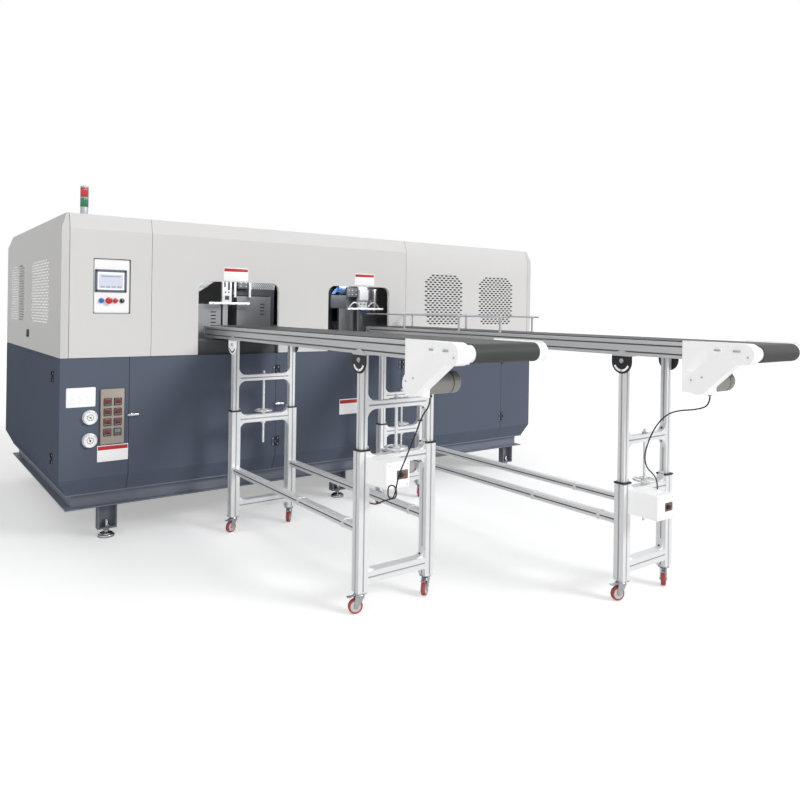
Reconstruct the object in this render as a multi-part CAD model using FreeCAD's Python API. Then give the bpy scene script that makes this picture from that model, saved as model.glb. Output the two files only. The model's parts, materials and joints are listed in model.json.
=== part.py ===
import FreeCAD, Part
import math
import os

# A stretch blow moulding machine with two belt conveyors that carry its containers away.
# Millimetres. While it is built, X runs along the machine's front from its left corner,
# Y runs from the front face towards the rear, and Z is the height above the floor.
# Every piece is moved at the end, so that the origin is the middle of the footprint.

V = FreeCAD.Vector

# ---- machine casing -------------------------------------------------------------------
MACHINE_LENGTH = 4196.0
MACHINE_DEPTH = 2227.0
MACHINE_HEIGHT = 2100.0
CHAMFER_HEIGHT = 98.0
CHAMFER_BASE = MACHINE_HEIGHT - CHAMFER_HEIGHT      # the upper covers lean in from here
ROOF_INSET = 32.0
LIGHT_BASE = 1186.0          # lower edge of the light covers
FOLD_TOP = 420.0             # height at which the lower panels fold inwards
FOLD_BOTTOM = 314.0
FOLD_INSET = 51.0
SHEET = 3.0
RETURN_DEPTH = 22.0          # depth of the folded edge round each cover
SEAM = 3.0                   # gap between two covers
END_STRIP = 47.0             # part of an end cover that wraps on to the front
ROOF_STRIP = 62.0            # part of a front cover that wraps on to the roof
SEAM_LEFT = 555.0            # seams between the upper front covers
SEAM_RIGHT = 2677.0
LEFT_CASING = 418.0          # length of the lower casing to the left of the doors
RIGHT_CASING = 381.0         # and to the right of them
DOOR_1_WIDTH = 1059.0
DOOR_2_WIDTH = 1165.0
FIRST_SEAM = LEFT_CASING
SECOND_SEAM = FIRST_SEAM + DOOR_1_WIDTH
THIRD_SEAM = SECOND_SEAM + DOOR_2_WIDTH
DOOR_EDGES = (FIRST_SEAM, SECOND_SEAM, THIRD_SEAM, MACHINE_LENGTH - RIGHT_CASING)
BASE_BOTTOM = 214.0
BASE_INSET = 51.0

# ---- windows --------------------------------------------------------------------------
WINDOW_SPANS = ((876.0, 1494.0), (1919.0, 2506.0))
SILL_RISE = 98.0             # top of the sill above the light covers' lower edge
SILL_TOP = LIGHT_BASE + SILL_RISE
WINDOW_HEIGHT = 415.0
WINDOW_TOP = SILL_TOP + WINDOW_HEIGHT
WINDOW_CORNER = 62.0
WINDOW_RETURN = 26.0
SILL_SETBACK = 27.0
DECK_THICKNESS = 10.0

# ---- vents ----------------------------------------------------------------------------
VENT_SIZE = (443.0, 440.0)
VENT_CORNER = 92.0
VENT_RISE = 16.0             # vents' middle above the middle of the upright wall
VENT_CENTRE_Z = (LIGHT_BASE + CHAMFER_BASE) / 2 + VENT_RISE
FRONT_VENT_SHARES = (0.286, 0.716)      # places of the vents along the right front cover
FRONT_COVER_LENGTH = MACHINE_LENGTH - END_STRIP - SEAM_RIGHT
FRONT_VENT_X = tuple(SEAM_RIGHT + share * FRONT_COVER_LENGTH for share in FRONT_VENT_SHARES)
END_VENT_INSET = (722.0, 547.0)         # middles of the end vents from the front and the rear
END_VENT_Y = (END_VENT_INSET[0], MACHINE_DEPTH - END_VENT_INSET[1])
END_VENT_SIZE = (680.0, 440.0)
REAR_VENT_INSET = (1050.0, 1046.0)
REAR_VENT_X = (REAR_VENT_INSET[0], MACHINE_LENGTH - REAR_VENT_INSET[1])
VENT_ROWS = 7
VENT_SLOT = (52.0, 18.0)
VENT_PITCH_X = 96.0
LATCH_BLOCK = (7.0, 26.0, 56.0)         # on the left end: thickness, depth and height
LATCH_BLOCK_Y = 1162.0
LATCH_BLOCK_RISE = 117.0                # its middle above the cover's lower edge

# ---- base, feet -----------------------------------------------------------------------
CHANNEL_FLANGE = 50.0
CHANNEL_WALL = 8.0
CROSS_MEMBER_WIDTH = 80.0
FOOT_INSET = (315.0, 196.0)  # outer feet from the machine's left and right ends
MIDDLE_FOOT_X = 2095.0
FOOT_X = (FOOT_INSET[0], MIDDLE_FOOT_X, MACHINE_LENGTH - FOOT_INSET[1])
FOOT_FROM_FACE = 112.0
LEG_WIDTH = 120.0
LEG_DEPTH = 62.0
LEG_BOTTOM = 56.0
PAD_RADIUS = 52.0
PAD_HEIGHT = 26.0
PAD_RIM = 0.6                # share of the pad's height that is upright
FOOT_BOLT_RADIUS = 12.0
FOOT_BOLT_HOLE = 1.0         # radial clearance of the bolt in the leg
FOOT_BOLT_LENGTH = 46.0      # above the leg's lower wall
FOOT_NUT = (21.0, 16.0)      # radius and height

# ---- doors ----------------------------------------------------------------------------
LOWER_HINGE_Z = 528.0
UPPER_HINGE_DROP = 130.0     # upper hinges below the light covers
HINGE_Z = (LOWER_HINGE_Z, LIGHT_BASE - UPPER_HINGE_DROP)
HINGE_HEIGHT = 66.0
HINGE_LEAF = 30.0
HINGE_LEAF_THICKNESS = 3.0
HINGE_KNUCKLE_RADIUS = 6.0
HINGE_PIN_RADIUS = 3.0
HINGE_RUNNING = 0.08         # radial clearance of a hinge pin
HINGE_AXIS_OUT = 7.0         # distance of the pin's axis in front of the panel
NOTCH_GAP = 2.5
END_DOOR_Y = (222.0, 1302.0)
END_DOOR_BOTTOM = 446.0
END_DOOR_DROP = 20.0         # its top below the light covers
END_DOOR_Z = (END_DOOR_BOTTOM, LIGHT_BASE - END_DOOR_DROP)
HANDLE_Z = 806.0
HANDLE_FROM_SEAM = 17.0      # pivot of a lever to the right of the seam
HANDLE_REACH = (31.0, 45.0)  # length of a lever to the left and to the right of its pivot
HANDLE_BAR = (14.0, 8.0)     # its height and thickness
HANDLE_ROSE = (12.0, 8.0)    # radius and thickness
HANDLE_NECK = (8.0, 6.0)     # radius and length

# ---- controls -------------------------------------------------------------------------
HMI_X = (188.0, 418.0)
HMI_DROP = (535.0, 181.0)    # lower and upper edge below the covers' chamfer
HMI_Z = (CHAMFER_BASE - HMI_DROP[0], CHAMFER_BASE - HMI_DROP[1])
HMI_RECESS = 9.0
HMI_FLANGE = (14.0, 6.0)     # width and thickness of the flange behind the cover
HMI_BODY_DEPTH = 70.0
SCREEN_X = (199.0, 394.0)
SCREEN_RISE = (138.0, 283.0)            # lower and upper edge above the panel's lower edge
SCREEN_Z = (HMI_Z[0] + SCREEN_RISE[0], HMI_Z[0] + SCREEN_RISE[1])
SCREEN_BEZEL = 16.0
SCREEN_FRAME = 5.0           # thickness of the frame round the glass
GLASS_DEPTH = 2.0            # glass behind the frame's face
BUTTON_RISE = 84.0
BUTTON_Z = HMI_Z[0] + BUTTON_RISE
BUTTON_X = {"start_button": 238.0, "emergency_stop": 282.0, "stop_button": 324.0, "selector_knob": 366.0}
BUTTON_RADIUS = 15.0
MUSHROOM_RADIUS = 21.0
BUTTON_STEM_RADIUS = 9.0
BUTTON_CLEARANCE = 0.5
BUTTON_TRAVEL_GAP = 7.0
BUTTON_STEM_END = 18.0       # end of the stem behind the panel's face
BUTTON_HOLE_END = 31.0
BUTTON_CAP = 7.0             # thickness of a button's cap
MUSHROOM_HEAD = (14.0, 12.0)            # its back in front of the face, and its thickness
MUSHROOM_NECK_RADIUS = 13.0
MUSHROOM_ROUNDING = 4.0
KNOB_SKIRT = (1.0, 8.0)      # gap to the panel's face, and thickness
KNOB_SKIRT_RADIUS = 14.0
KNOB_GRIP = (8.0, 12.0, 26.0)           # width, depth and height
TEMPERATURE_X = (240.0, 384.0)
TEMPERATURE_Z = (629.0, 981.0)
TEMPERATURE_DEPTH = 16.0
MODULE_SIZE = 46.0
MODULE_PITCH = (63.0, 65.0)
MODULE_TOP = 81.0            # middle of the upper row below the panel's top
MODULE_THICKNESS = 6.0
MODULE_POCKET = (5.0, 6.0, 2.0)         # margin at the sides, above and below, and depth
MODULE_ROWS = 4
GAUGE_X = 178.0
GAUGE_Z = (807.0, 661.0)
GAUGE_RADIUS = 46.0
GAUGE_DEPTH = 24.0
GAUGE_FLANGE = 6.0
GAUGE_RIM = 5.0              # flange past the body
GAUGE_DIAL = (9.0, 5.0)      # dial inside the flange's radius, and its depth
TOWER_XY = (156.0, 130.0)
TOWER_RADIUS = 25.0
# Thickness of each length of the tower, and how much its radius differs.
TOWER_LENGTHS = ((10.0, 2.0), (45.0, -1.0), (58.0, 0.0), (5.0, -1.5), (58.0, 0.0), (16.0, 0.0))

# ---- inner frame and machinery ---------------------------------------------------------
TUBE = 60.0
FRAME_SETBACK = 46.0         # distance of the inner frame behind the outer face
FRAME_TOP_GAP = 4.0          # between the frame's top and the roof's folded edges
COVER_RAIL = 40.0            # height of the rails that the covers' folded edges rest on
SILL_LAP = 30.0              # how far the sill's plate reaches past the windows and below them
DOOR_STOP_GAP = 4.0          # between a door's folded edges and what lies behind them
OVEN_X = (300.0, 1184.0)
OVEN_Y = (350.0, 900.0)
OVEN_HEIGHT = 257.0
OVEN_TOP = SILL_TOP + OVEN_HEIGHT
OVEN_WALL = 60.0
OVEN_ROOF = 20.0
GUARD_X = (1312.0, 1596.0)
GUARD_HEIGHT = 321.0
GUARD_TOP = SILL_TOP + GUARD_HEIGHT
HEAT_SLOT = (40.0, 12.0, 8.0)           # width, depth and height
HEAT_SLOT_PITCH = 26.0
HEAT_SLOT_DROP = 60.0        # upper slot below the housing's top
HEAT_SLOT_INSET = (60.0, 70.0)          # their middle from the right edge of oven and guard
HEAT_SLOT_COUNT = 4
PLATEN_X = (1640.0, 2270.0)
PLATEN_THICKNESS = 50.0
PLATEN_Y = (520.0, 1420.0)
PLATEN_DROP = 200.0          # platens' top below the machine's
PLATEN_TOP = MACHINE_HEIGHT - PLATEN_DROP
PLATEN_TIE = 40.0            # section of the bars that join the platens' tops
CLAMP_BEAM = (80.0, 46.0)    # depth and height of the dark beam above the guard
CLAMP_BEAM_GAP = 7.0
CLAMP_BEAM_REACH = 60.0      # past the guard's left side
CLAMP_BEAM_SETBACK = 30.0    # behind the guard's front
TIE_BAR_RADIUS = 30.0
TIE_BAR_CLEARANCE = 0.5
TIE_BAR_INSET = (60.0, 80.0)            # from the platens' sides and top
TIE_BAR_END = 30.0           # past the platens
MOULD_RISE = 116.0                    # moulds' lower side above the sill
MOULD_BOTTOM = SILL_TOP + MOULD_RISE
MOULD_TOP_DROP = 170.0                # moulds' upper side below the platens' top
MOULD_SIZE = (85.0, 720.0)            # one half: along X and Y
MOULD_TOP = PLATEN_TOP - MOULD_TOP_DROP
CARRIER = (35.0, 100.0, 45.0)         # carrier plate: thickness, below the mould, below the platens' top
CARRIER_INSET = 10.0
MOULD_OPENING = 75.0                  # travel of one half
CAVITY_RADIUS = 36.0
CAVITY_NECK = 0.4                     # radius of a cavity's neck as a share of its own
CAVITY_ENDS = (40.0, 60.0)            # from the mould's lower and upper side
CAVITY_COUNT = 4
CAVITY_PITCH = 160.0
MOULD_GAP = 1.0
BEAM_Y = 331.0
BEAM_X = (1120.0, 2560.0)
BEAM_RISE = 481.0            # middle of the beam's upper half above the sill
BEAM_Z = SILL_TOP + BEAM_RISE
BEAM_SIZE = 26.0
GRIPPER_BAR = 14.0
GRIPPER_BARS = ((1073.0, 1395.0, 264.0), (2293.0, 2657.0, 236.0))   # span, height above the sill
GRIPPER_COLUMNS = ((1181.0, 1255.0), (2408.0, 2498.0))
GRIPPER_BLOCK = (310.0, 400.0, 18.0)    # from and to above the sill, and depth
GRIPPER_FINGER = (8.0, 14.0)            # section and length
GRIPPER_FINGER_SHARES = (0.1, 0.3, 0.5, 0.7, 0.9)
STRETCH_PLATE_DROP = 240.0              # below the machine's top
STRETCH_PLATE_Z = MACHINE_HEIGHT - STRETCH_PLATE_DROP
STRETCH_PLATE = (110.0, 640.0, 20.0)
STRETCH_ROD_RADIUS = 7.0
STRETCH_ROD_LENGTH = 110.0
STRETCH_TRAVEL = 115.0
PISTON_RADIUS = 11.0
PISTON_LENGTH = 160.0
CYLINDER_RADIUS = 36.0
PISTON_GAP = 4.0             # between the piston's top and its bore's end
CYLINDER_DROP = (195.0, 42.0)
CYLINDER_Z = (MACHINE_HEIGHT - CYLINDER_DROP[0], MACHINE_HEIGHT - CYLINDER_DROP[1])
CROSSHEAD = (90.0, 25.0)             # width and thickness
CROSSHEAD_DROP = 138.0
CROSSHEAD_Z = MACHINE_HEIGHT - CROSSHEAD_DROP
GUIDE_PIN_RADIUS = 12.0
GUIDE_PIN_END = 5.0          # below the stretch plate's lowest place
GUIDE_PIN_PITCH = 560.0
SLIDING_CLEARANCE = 0.4
CARRIAGE_RAIL_X = (1050.0, 2650.0)
CARRIAGE_RAIL = (30.0, 40.0)         # depth and height
CARRIAGE_POST = 40.0
CARRIAGE_POSTS = (1196.0, 2432.0)    # left side of each post
CARRIAGE_WIDTH = 120.0
CARRIAGE_PLATE = 12.0
CARRIAGES = (1330.0, 2330.0)         # middle of each carriage along X
VALVE_CYLINDER = (2618.0, 24.0)      # middle along X, and radius
VALVE_CYLINDER_RISE = (216.0, 406.0)    # lower and upper end above the sill
VALVE_BRACKET = (40.0, 276.0, 316.0)    # width, and lower and upper side above the sill
VALVE_POST = (50.0, 30.0, 436.0)        # past the cylinder, depth, and height above the sill

# ---- conveyors -------------------------------------------------------------------------
CONVEYORS = {
    "first": {
        "left": 1042.0,          # middle of the left posts
        "track": 424.0,          # distance between the posts of one frame
        "collar": 820.0,         # top of the lower posts
        "rear": -260.0,          # middle of the frame next to the machine
        "near": -1820.0,         # middle of the other frame
        "rail_end": -2298.0,
        "drive_drum": -2588.0,
        "tail_drum": 248.0,
        "guides": (),
    },
    "second": {
        "left": 2270.0,
        "track": 384.0,
        "collar": 625.0,
        "rear": -250.0,
        "near": -2472.0,
        "rail_end": -2915.0,
        "drive_drum": -3155.0,
        "tail_drum": -64.0,
        "guides": ((-525.0, -1145.0, -1540.0), (-127.0, -792.0, -1457.0)),
    },
}
RAIL_WIDTH = 40.0
RAIL_HEIGHT = 80.0
RAIL_RISE = 94.0             # top of the rails above the sill
RAIL_TOP = SILL_TOP + RAIL_RISE
RAIL_CAP = 44.0              # separate end piece of a rail
RAIL_PAST_DRUM = 24.0
RAIL_SLOT_Z = 20.0           # slots of a rail above and below its middle
RAIL_GROOVE = (2.0, 1.5)     # width and depth of the seam at the end piece
BED_CROSS = (40.0, 36.0)     # width and height of the bars between the rails
BED_CROSS_SHARES = (0.03, 0.5, 0.93)    # their places along the rails
SLIDER = (3.5, 0.5, 14.0)    # the belt's slider plate: thickness, gap to the belt, gap to the drums
POST = 40.0
LOWER_POST = 60.0
LOWER_WALL = 5.0
LOWER_BOTTOM = 108.0
SLOT_WIDTH = 8.0
SLOT_DEPTH = 5.0
LOWER_SLOT_DEPTH = 2.0
COLLAR_SIZE = 66.0
COLLAR_HEIGHT = 7.0
COLLAR_CLEARANCE = 0.4
UPPER_BAR_RISE = 218.0       # middle of the upper crossbar above the collar
LOWER_BAR_DROP = 62.0        # middle of the lower crossbar below the collar
LOWER_BAR = 50.0
BOTTOM_BAR_Z = 178.0
TIE_Z = 420.0
SLEEVE_SIZE = 46.0
SLEEVE_LENGTH = 18.0
GUSSET = 52.0
GUSSET_THICKNESS = 34.0
POST_OVERLAP = 230.0         # length of an upper post inside the lower one
LOWER_FLOOR = 12.0           # solid lower end of a lower post
TIE_SLEEVES = (110.0, 590.0)            # places of the sleeves along a lower tie
THRUST_RING = (16.0, 14.0)   # radius and height of the ring under the lower crossbar
ROD_NUT = (13.0, 10.0)       # radius and height of the nut on the upper crossbar
PIVOT_PLATE = 122.0
PIVOT_PLATE_DROP = 98.0
PIVOT_PLATE_THICKNESS = 5.0
PIVOT_BOLT_RADIUS = 8.0
PIVOT_BOLT_HEAD = 7.0        # past the plate
PIVOT_BOLT_RISE = 6.0        # above the middle of the plate's round end
PIVOT_SLOT = (10.0, 11.0)    # arc slot: from the plate's edge, and width
PIVOT_SLOT_DROP = 16.0       # its ends below the middle of the round end
DRUM_RADIUS = 38.0
DRUM_DROP = 36.0             # middle of the drums below the rails' top
DRUM_CENTRE_Z = RAIL_TOP - DRUM_DROP
DRUM_GAP = 0.3
SHAFT_RADIUS = 10.0
SHAFT_CLEARANCE = 0.3
BELT_THICKNESS = 4.0
BELT_SIDE_GAP = 4.0
MOTOR_FROM_RAIL_END = -20.0
MOTOR_DROP = 147.0           # motor centre below the drum centre
GUARD_HEAD_RADIUS = 48.0
GUARD_ARM_RADIUS = 55.0
GUARD_HEAD_LENGTH = 170.0
GUARD_ARM_START = 63.0
GUARD_THICKNESS = 57.0
GUARD_WALL = 2.5
SIDE_PLATE = 8.0
NOSE_REACH = 60.0
NOSE_STEP = 4.0              # the housing's lower side above the plate's
FAR_PLATE = 6.0              # thickness of the plate on the far side
LATCH_SIZE = (5.0, 34.0, 12.0)
UPPER_LATCH = (120.0, 14.0)  # from the drum, and above it
LOWER_LATCH = (66.0, 44.0)   # from the motor, and above it
LOWER_LATCH_DEPTH = 20.0
MOTOR_BRACKET = (60.0, 112.0, 56.0)     # in front of the motor, behind it and below it
MOTOR_HOLE = 2.0             # radial clearance of the motor's shaft
PULLEY_GAP = 8.0             # between the pulleys and the side plate
PULLEY_BOSS = 4.0
PULLEY_FLANGE = 2.0
PULLEY_RADIUS = 21.0
PULLEY_WIDTH = 20.0
DRIVE_BELT = 2.5
MOTOR_RADIUS = 50.0
MOTOR_LENGTH = 194.0
MOTOR_ROUNDING = 8.0
MOTOR_RING = (48.0, 5.0, 3.0)           # groove: from the motor's end, width and depth
MOTOR_GLAND = (30.0, 9.0, 17.0)      # distance past the left posts' middle, radius and length
HANDWHEEL_RADIUS = 56.0
HANDWHEEL_RIM = 6.0
HANDWHEEL_HUB = 17.0
HANDWHEEL_HEIGHT = 34.0
HANDWHEEL_RIM_RISE = 6.0     # rim above the middle of the hub
HANDWHEEL_SPOKE = 4.5
HUB_CLEARANCE = 0.4
ROD_RADIUS = 8.0
ROD_CLEARANCE = 0.4
ROD_BELOW_COLLAR = 236.0
ROD_ABOVE_BAR = 44.0
BOX_SIZE = (140.0, 176.0, 126.0)
BOX_DROP = 36.0              # top of the control box below the collar
BOX_FROM_LEFT = 6.0
BOX_ROUNDING = 3.0
BOX_GLAND = (14.0, 84.0, 118.0)         # height above the box, from its left side, from its back
SWITCH_PLATE = (66.0, 44.0, 2.0)
SWITCH_PLATE_INSET = 46.0    # its middle from the box's right side
SWITCH_KNOB = (9.0, 12.0, 56.0)         # radius, length and inset from the right side
WHEEL_RADIUS = 37.5
WHEEL_WIDTH = 26.0
CASTER_TRAIL = 22.0
CASTER_HEADINGS = (200.0, 230.0, 160.0, 215.0)      # degrees, rear left to near right
CASTER_PLATE = (62.0, 4.0)   # side and thickness
CASTER_RACE = (24.0, 10.0)   # radius and height
CHEEK = (2.0, 3.0)           # gap to the wheel, and thickness
CHEEK_TOP = (20.0, 24.0)     # reach of a cheek's top to both sides of the swivel
CHEEK_TIP = (11.0, 9.0)      # reach of its lower end to both sides of the axle
CHEEK_DROP = 6.0             # lower end below the axle
CASTER_AXLE = (5.0, 3.0)     # radius and length past the cheeks
PEDAL = (46.0, 5.0, 14.0)    # length, thickness and slope in degrees
PEDAL_DROP = 11.0
GUIDE_POST_HEIGHT = 112.0
GUIDE_POST_RADIUS = 6.0
GUIDE_ROD_RADIUS = 5.0
GUIDE_ROD_DROP = 8.0         # rod below the posts' tops
GUIDE_ROD_ENDS = (60.0, 26.0)           # past the last post, and in front of the machine
CABLE_RADIUS = 3.5
CLIP_SIZE = (24.0, 24.0, 24.0)
CLIP_Z = 548.0
CLIP_SETBACK = 18.0

# Routes of the two motor cables as drawn, from the motor's gland to the clip or the box's gland.
FIRST_CABLE_ROUTE = (
    (1072.0, -2318.0, 1128.0),
    (1072.0, -2318.0, 1094.0),
    (1066.0, -2272.0, 1046.0),
    (1058.0, -2243.0, 969.0),
    (1054.0, -2206.0, 899.0),
    (1053.0, -2156.0, 810.0),
    (1051.0, -2118.0, 744.0),
    (1047.0, -2092.0, 629.0),
    (1049.0, -2038.0, 624.0),
    (1052.0, -2036.0, 684.0),
    (1056.0, -2093.0, 691.0),
    (1061.0, -2095.0, 633.0),
    (1070.0, -2011.0, 607.0),
    (1080.0, -1932.0, 572.0),
    (1084.0, -1876.0, 548.0),
    (1084.0, -1838.0, 548.0),
)
SECOND_CABLE_ROUTE = (
    (2300.0, -2935.0, 1128.0),
    (2300.0, -2935.0, 1082.0),
    (2306.0, -2862.0, 1052.0),
    (2318.0, -2762.0, 1036.0),
    (2326.0, -2690.0, 1006.0),
    (2318.0, -2636.0, 945.0),
    (2290.0, -2610.0, 862.0),
    (2266.0, -2602.0, 782.0),
    (2288.0, -2604.0, 720.0),
    (2334.0, -2612.0, 686.0),
    (2360.0, -2620.0, 646.0),
    (2360.0, -2620.0, 603.0),
)


# ---- small helpers ---------------------------------------------------------------------
def block(x, y, z):
    """A box between two values on each axis."""
    return Part.makeBox(x[1] - x[0], y[1] - y[0], z[1] - z[0], V(x[0], y[0], z[0]))


def rod(radius, start, end):
    """A cylinder from one point to another."""
    axis = V(*end) - V(*start)
    return Part.makeCylinder(radius, axis.Length, V(*start), axis)


def tube(outer, inner, start, end):
    return rod(outer, start, end).cut(rod(inner, start, end))


def prism(points, along):
    """A closed outline of points carried along a vector."""
    corners = [V(*point) for point in points]
    face = Part.Face(Part.makePolygon(corners + corners[:1]))
    return face.extrude(V(*along))


def fuse(shapes):
    whole = shapes[0]
    if len(shapes) > 1:
        whole = whole.multiFuse(shapes[1:])
    return whole.removeSplitter()


def apart(shapes):
    """The shapes as separate solids that meet: each one gives way to those before it."""
    solids = [shapes[0]]
    for shape in shapes[1:]:
        solids += shape.cut(solids).Solids
    return solids


def grown(span, amount):
    return (span[0] - amount, span[1] + amount)


def around(middle, size):
    """The span of a given size about its middle."""
    return (middle - size / 2, middle + size / 2)


# ---- casing ----------------------------------------------------------------------------
def casing_profile(levels, depth, inset):
    """Points of a symmetric outline: each level is (inset from the face, height)."""
    near = [(side + inset, height) for side, height in levels]
    far = [(depth - side - inset, height) for side, height in reversed(levels)]
    return near + far


def casing_solid(levels, inset):
    """The solid between the two pairs of outer walls, with mitred corners."""
    along_x = prism([(0.0, y, z) for y, z in casing_profile(levels, MACHINE_DEPTH, inset)],
                    (MACHINE_LENGTH, 0, 0))
    along_y = prism([(x, 0.0, z) for x, z in casing_profile(levels, MACHINE_LENGTH, inset)],
                    (0, MACHINE_DEPTH, 0))
    return along_x.common(along_y)


def upper_solid(inset):
    roof = MACHINE_HEIGHT - inset
    return casing_solid([(0.0, LIGHT_BASE), (0.0, CHAMFER_BASE), (ROOF_INSET, roof)], inset)


def lower_solid(inset):
    top = LIGHT_BASE - SEAM
    return casing_solid([(FOLD_INSET, FOLD_BOTTOM), (0.0, FOLD_TOP), (0.0, top)], inset)


def folded_cover(solid, x, y, z, open_sides=""):
    """The part of the casing in a region, as a sheet with its edges folded in.

    open_sides names the sides of the region without a folded edge, such as "xX".
    """
    skin = solid(0.0).cut(solid(RETURN_DEPTH)).common(block(x, y, z))
    hollow = solid(SHEET).cut(solid(RETURN_DEPTH))
    inner = []
    for span, low, high in ((x, "x", "X"), (y, "y", "Y"), (z, "z", "Z")):
        start = span[0] - SHEET if low in open_sides else span[0] + SHEET
        end = span[1] + SHEET if high in open_sides else span[1] - SHEET
        inner.append((start, end))
    return skin.cut(hollow.common(block(*inner)))


def vent_slots(middle, size, rows, axis):
    """Staggered slots inside a rounded square, cut through a wall square to axis."""
    slots = []
    row_pitch = size[1] / rows
    for row in range(rows):
        height = VENT_CENTRE_Z + (row - (rows - 1) / 2) * row_pitch
        edge = size[1] / 2 - abs(height - VENT_CENTRE_Z)
        missing = max(0.0, VENT_CORNER - edge)
        half = size[0] / 2 - VENT_CORNER + math.sqrt(VENT_CORNER ** 2 - missing ** 2)
        shift = VENT_PITCH_X / 2 if row % 2 else 0.0
        count = int((half - VENT_SLOT[0] / 2 - shift) / VENT_PITCH_X)
        places = [step * VENT_PITCH_X + shift for step in range(-count - (1 if shift else 0), count + 1)]
        for place in places:
            across = around(middle + place, VENT_SLOT[0])
            tall = around(height, VENT_SLOT[1])
            slots.append((across, tall))
    if axis == "y":
        return [block(across, (-SHEET, 2 * SHEET), tall) for across, tall in slots]
    if axis == "Y":
        return [block(across, (MACHINE_DEPTH - 2 * SHEET, MACHINE_DEPTH + SHEET), tall)
                for across, tall in slots]
    wall = (-SHEET, 2 * SHEET)
    if axis == "X":
        wall = (MACHINE_LENGTH - 2 * SHEET, MACHINE_LENGTH + SHEET)
    return [block(wall, across, tall) for across, tall in slots]


def window_cutter(span, edge, y):
    """An arch with round upper corners, open at the bottom, grown by edge."""
    left, right = span[0] - edge, span[1] + edge
    top = WINDOW_TOP + edge
    radius = WINDOW_CORNER + edge
    bottom = LIGHT_BASE - 10.0
    box = block((left, right), y, (bottom, top - radius))
    lid = block((left + radius, right - radius), y, (top - radius, top))
    corners = [rod(radius, (x, y[0], top - radius), (x, y[1], top - radius))
               for x in (left + radius, right - radius)]
    return fuse([box, lid] + corners)


def upper_covers():
    top = (LIGHT_BASE, MACHINE_HEIGHT)
    all_y = (0.0, MACHINE_DEPTH)
    half = SEAM / 2
    left = folded_cover(upper_solid, (0.0, END_STRIP - half), all_y, top, "xyYZ")
    right = folded_cover(upper_solid, (MACHINE_LENGTH - END_STRIP + half, MACHINE_LENGTH), all_y, top, "XyYZ")
    for middle in END_VENT_Y:
        left = left.cut(vent_slots(middle, END_VENT_SIZE, VENT_ROWS, "x"))
        right = right.cut(vent_slots(middle, END_VENT_SIZE, VENT_ROWS, "X"))
    thickness, depth, tall = LATCH_BLOCK
    latch = block((-thickness, 0.0), around(LATCH_BLOCK_Y, depth), around(LIGHT_BASE + LATCH_BLOCK_RISE, tall))
    parts = {"left_end_cover": fuse([left, latch]), "right_end_cover": right}

    seams = (END_STRIP, SEAM_LEFT, SEAM_RIGHT, MACHINE_LENGTH - END_STRIP)
    names = ("front_cover_left", "front_cover_middle", "front_cover_right")
    front = (0.0, ROOF_STRIP - half)
    for name, start, end in zip(names, seams, seams[1:]):
        parts[name] = folded_cover(upper_solid, (start + half, end - half), front, top, "yZ")

    middle_cover = parts["front_cover_middle"]
    for span in WINDOW_SPANS:
        frame = window_cutter(span, SHEET, (0.0, WINDOW_RETURN))
        frame = frame.common(block(grown(span, 10.0), (0.0, WINDOW_RETURN), (LIGHT_BASE, WINDOW_TOP + 10.0)))
        middle_cover = fuse([middle_cover, frame]).cut(window_cutter(span, 0.0, (-10.0, WINDOW_RETURN + 10.0)))
    parts["front_cover_middle"] = middle_cover

    for middle in FRONT_VENT_X:
        slots = vent_slots(middle, VENT_SIZE, VENT_ROWS, "y")
        parts["front_cover_right"] = parts["front_cover_right"].cut(slots)
    opening = block(HMI_X, (-1.0, RETURN_DEPTH), HMI_Z)
    parts["front_cover_left"] = parts["front_cover_left"].cut(opening)

    inside_ends = (END_STRIP + half, MACHINE_LENGTH - END_STRIP - half)
    back = (MACHINE_DEPTH - ROOF_STRIP + half, MACHINE_DEPTH)
    rear = folded_cover(upper_solid, inside_ends, back, top, "YZ")
    for middle in REAR_VENT_X:
        rear = rear.cut(vent_slots(middle, END_VENT_SIZE, VENT_ROWS, "Y"))
    parts["rear_cover"] = rear
    roof_y = (ROOF_STRIP + half, MACHINE_DEPTH - ROOF_STRIP - half)
    parts["roof_panel"] = folded_cover(upper_solid, inside_ends, roof_y, (CHAMFER_BASE, MACHINE_HEIGHT), "zZ")
    return parts


def hinge_notch(seam, height):
    """The cut in a door's free edge round its neighbour's hinge leaf."""
    return block((seam - 5.0, seam + HINGE_LEAF + NOTCH_GAP), (-1.0, RETURN_DEPTH + 1.0),
                 around(height, HINGE_HEIGHT + 2 * NOTCH_GAP))


def hinge_knuckle(radius, bore, seam, span):
    axis_y = -HINGE_AXIS_OUT
    knuckle = rod(radius, (seam, axis_y, span[0]), (seam, axis_y, span[1]))
    if bore:
        knuckle = knuckle.cut(rod(bore, (seam, axis_y, span[0] - 1), (seam, axis_y, span[1] + 1)))
    return knuckle


def knuckle_spans(height):
    """Heights of the lower, middle and upper knuckles, with a gap between them."""
    third = HINGE_HEIGHT / 3
    gap = 0.5
    low = height - HINGE_HEIGHT / 2
    return [(low + step * third + gap, low + (step + 1) * third - gap) for step in range(3)]


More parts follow.
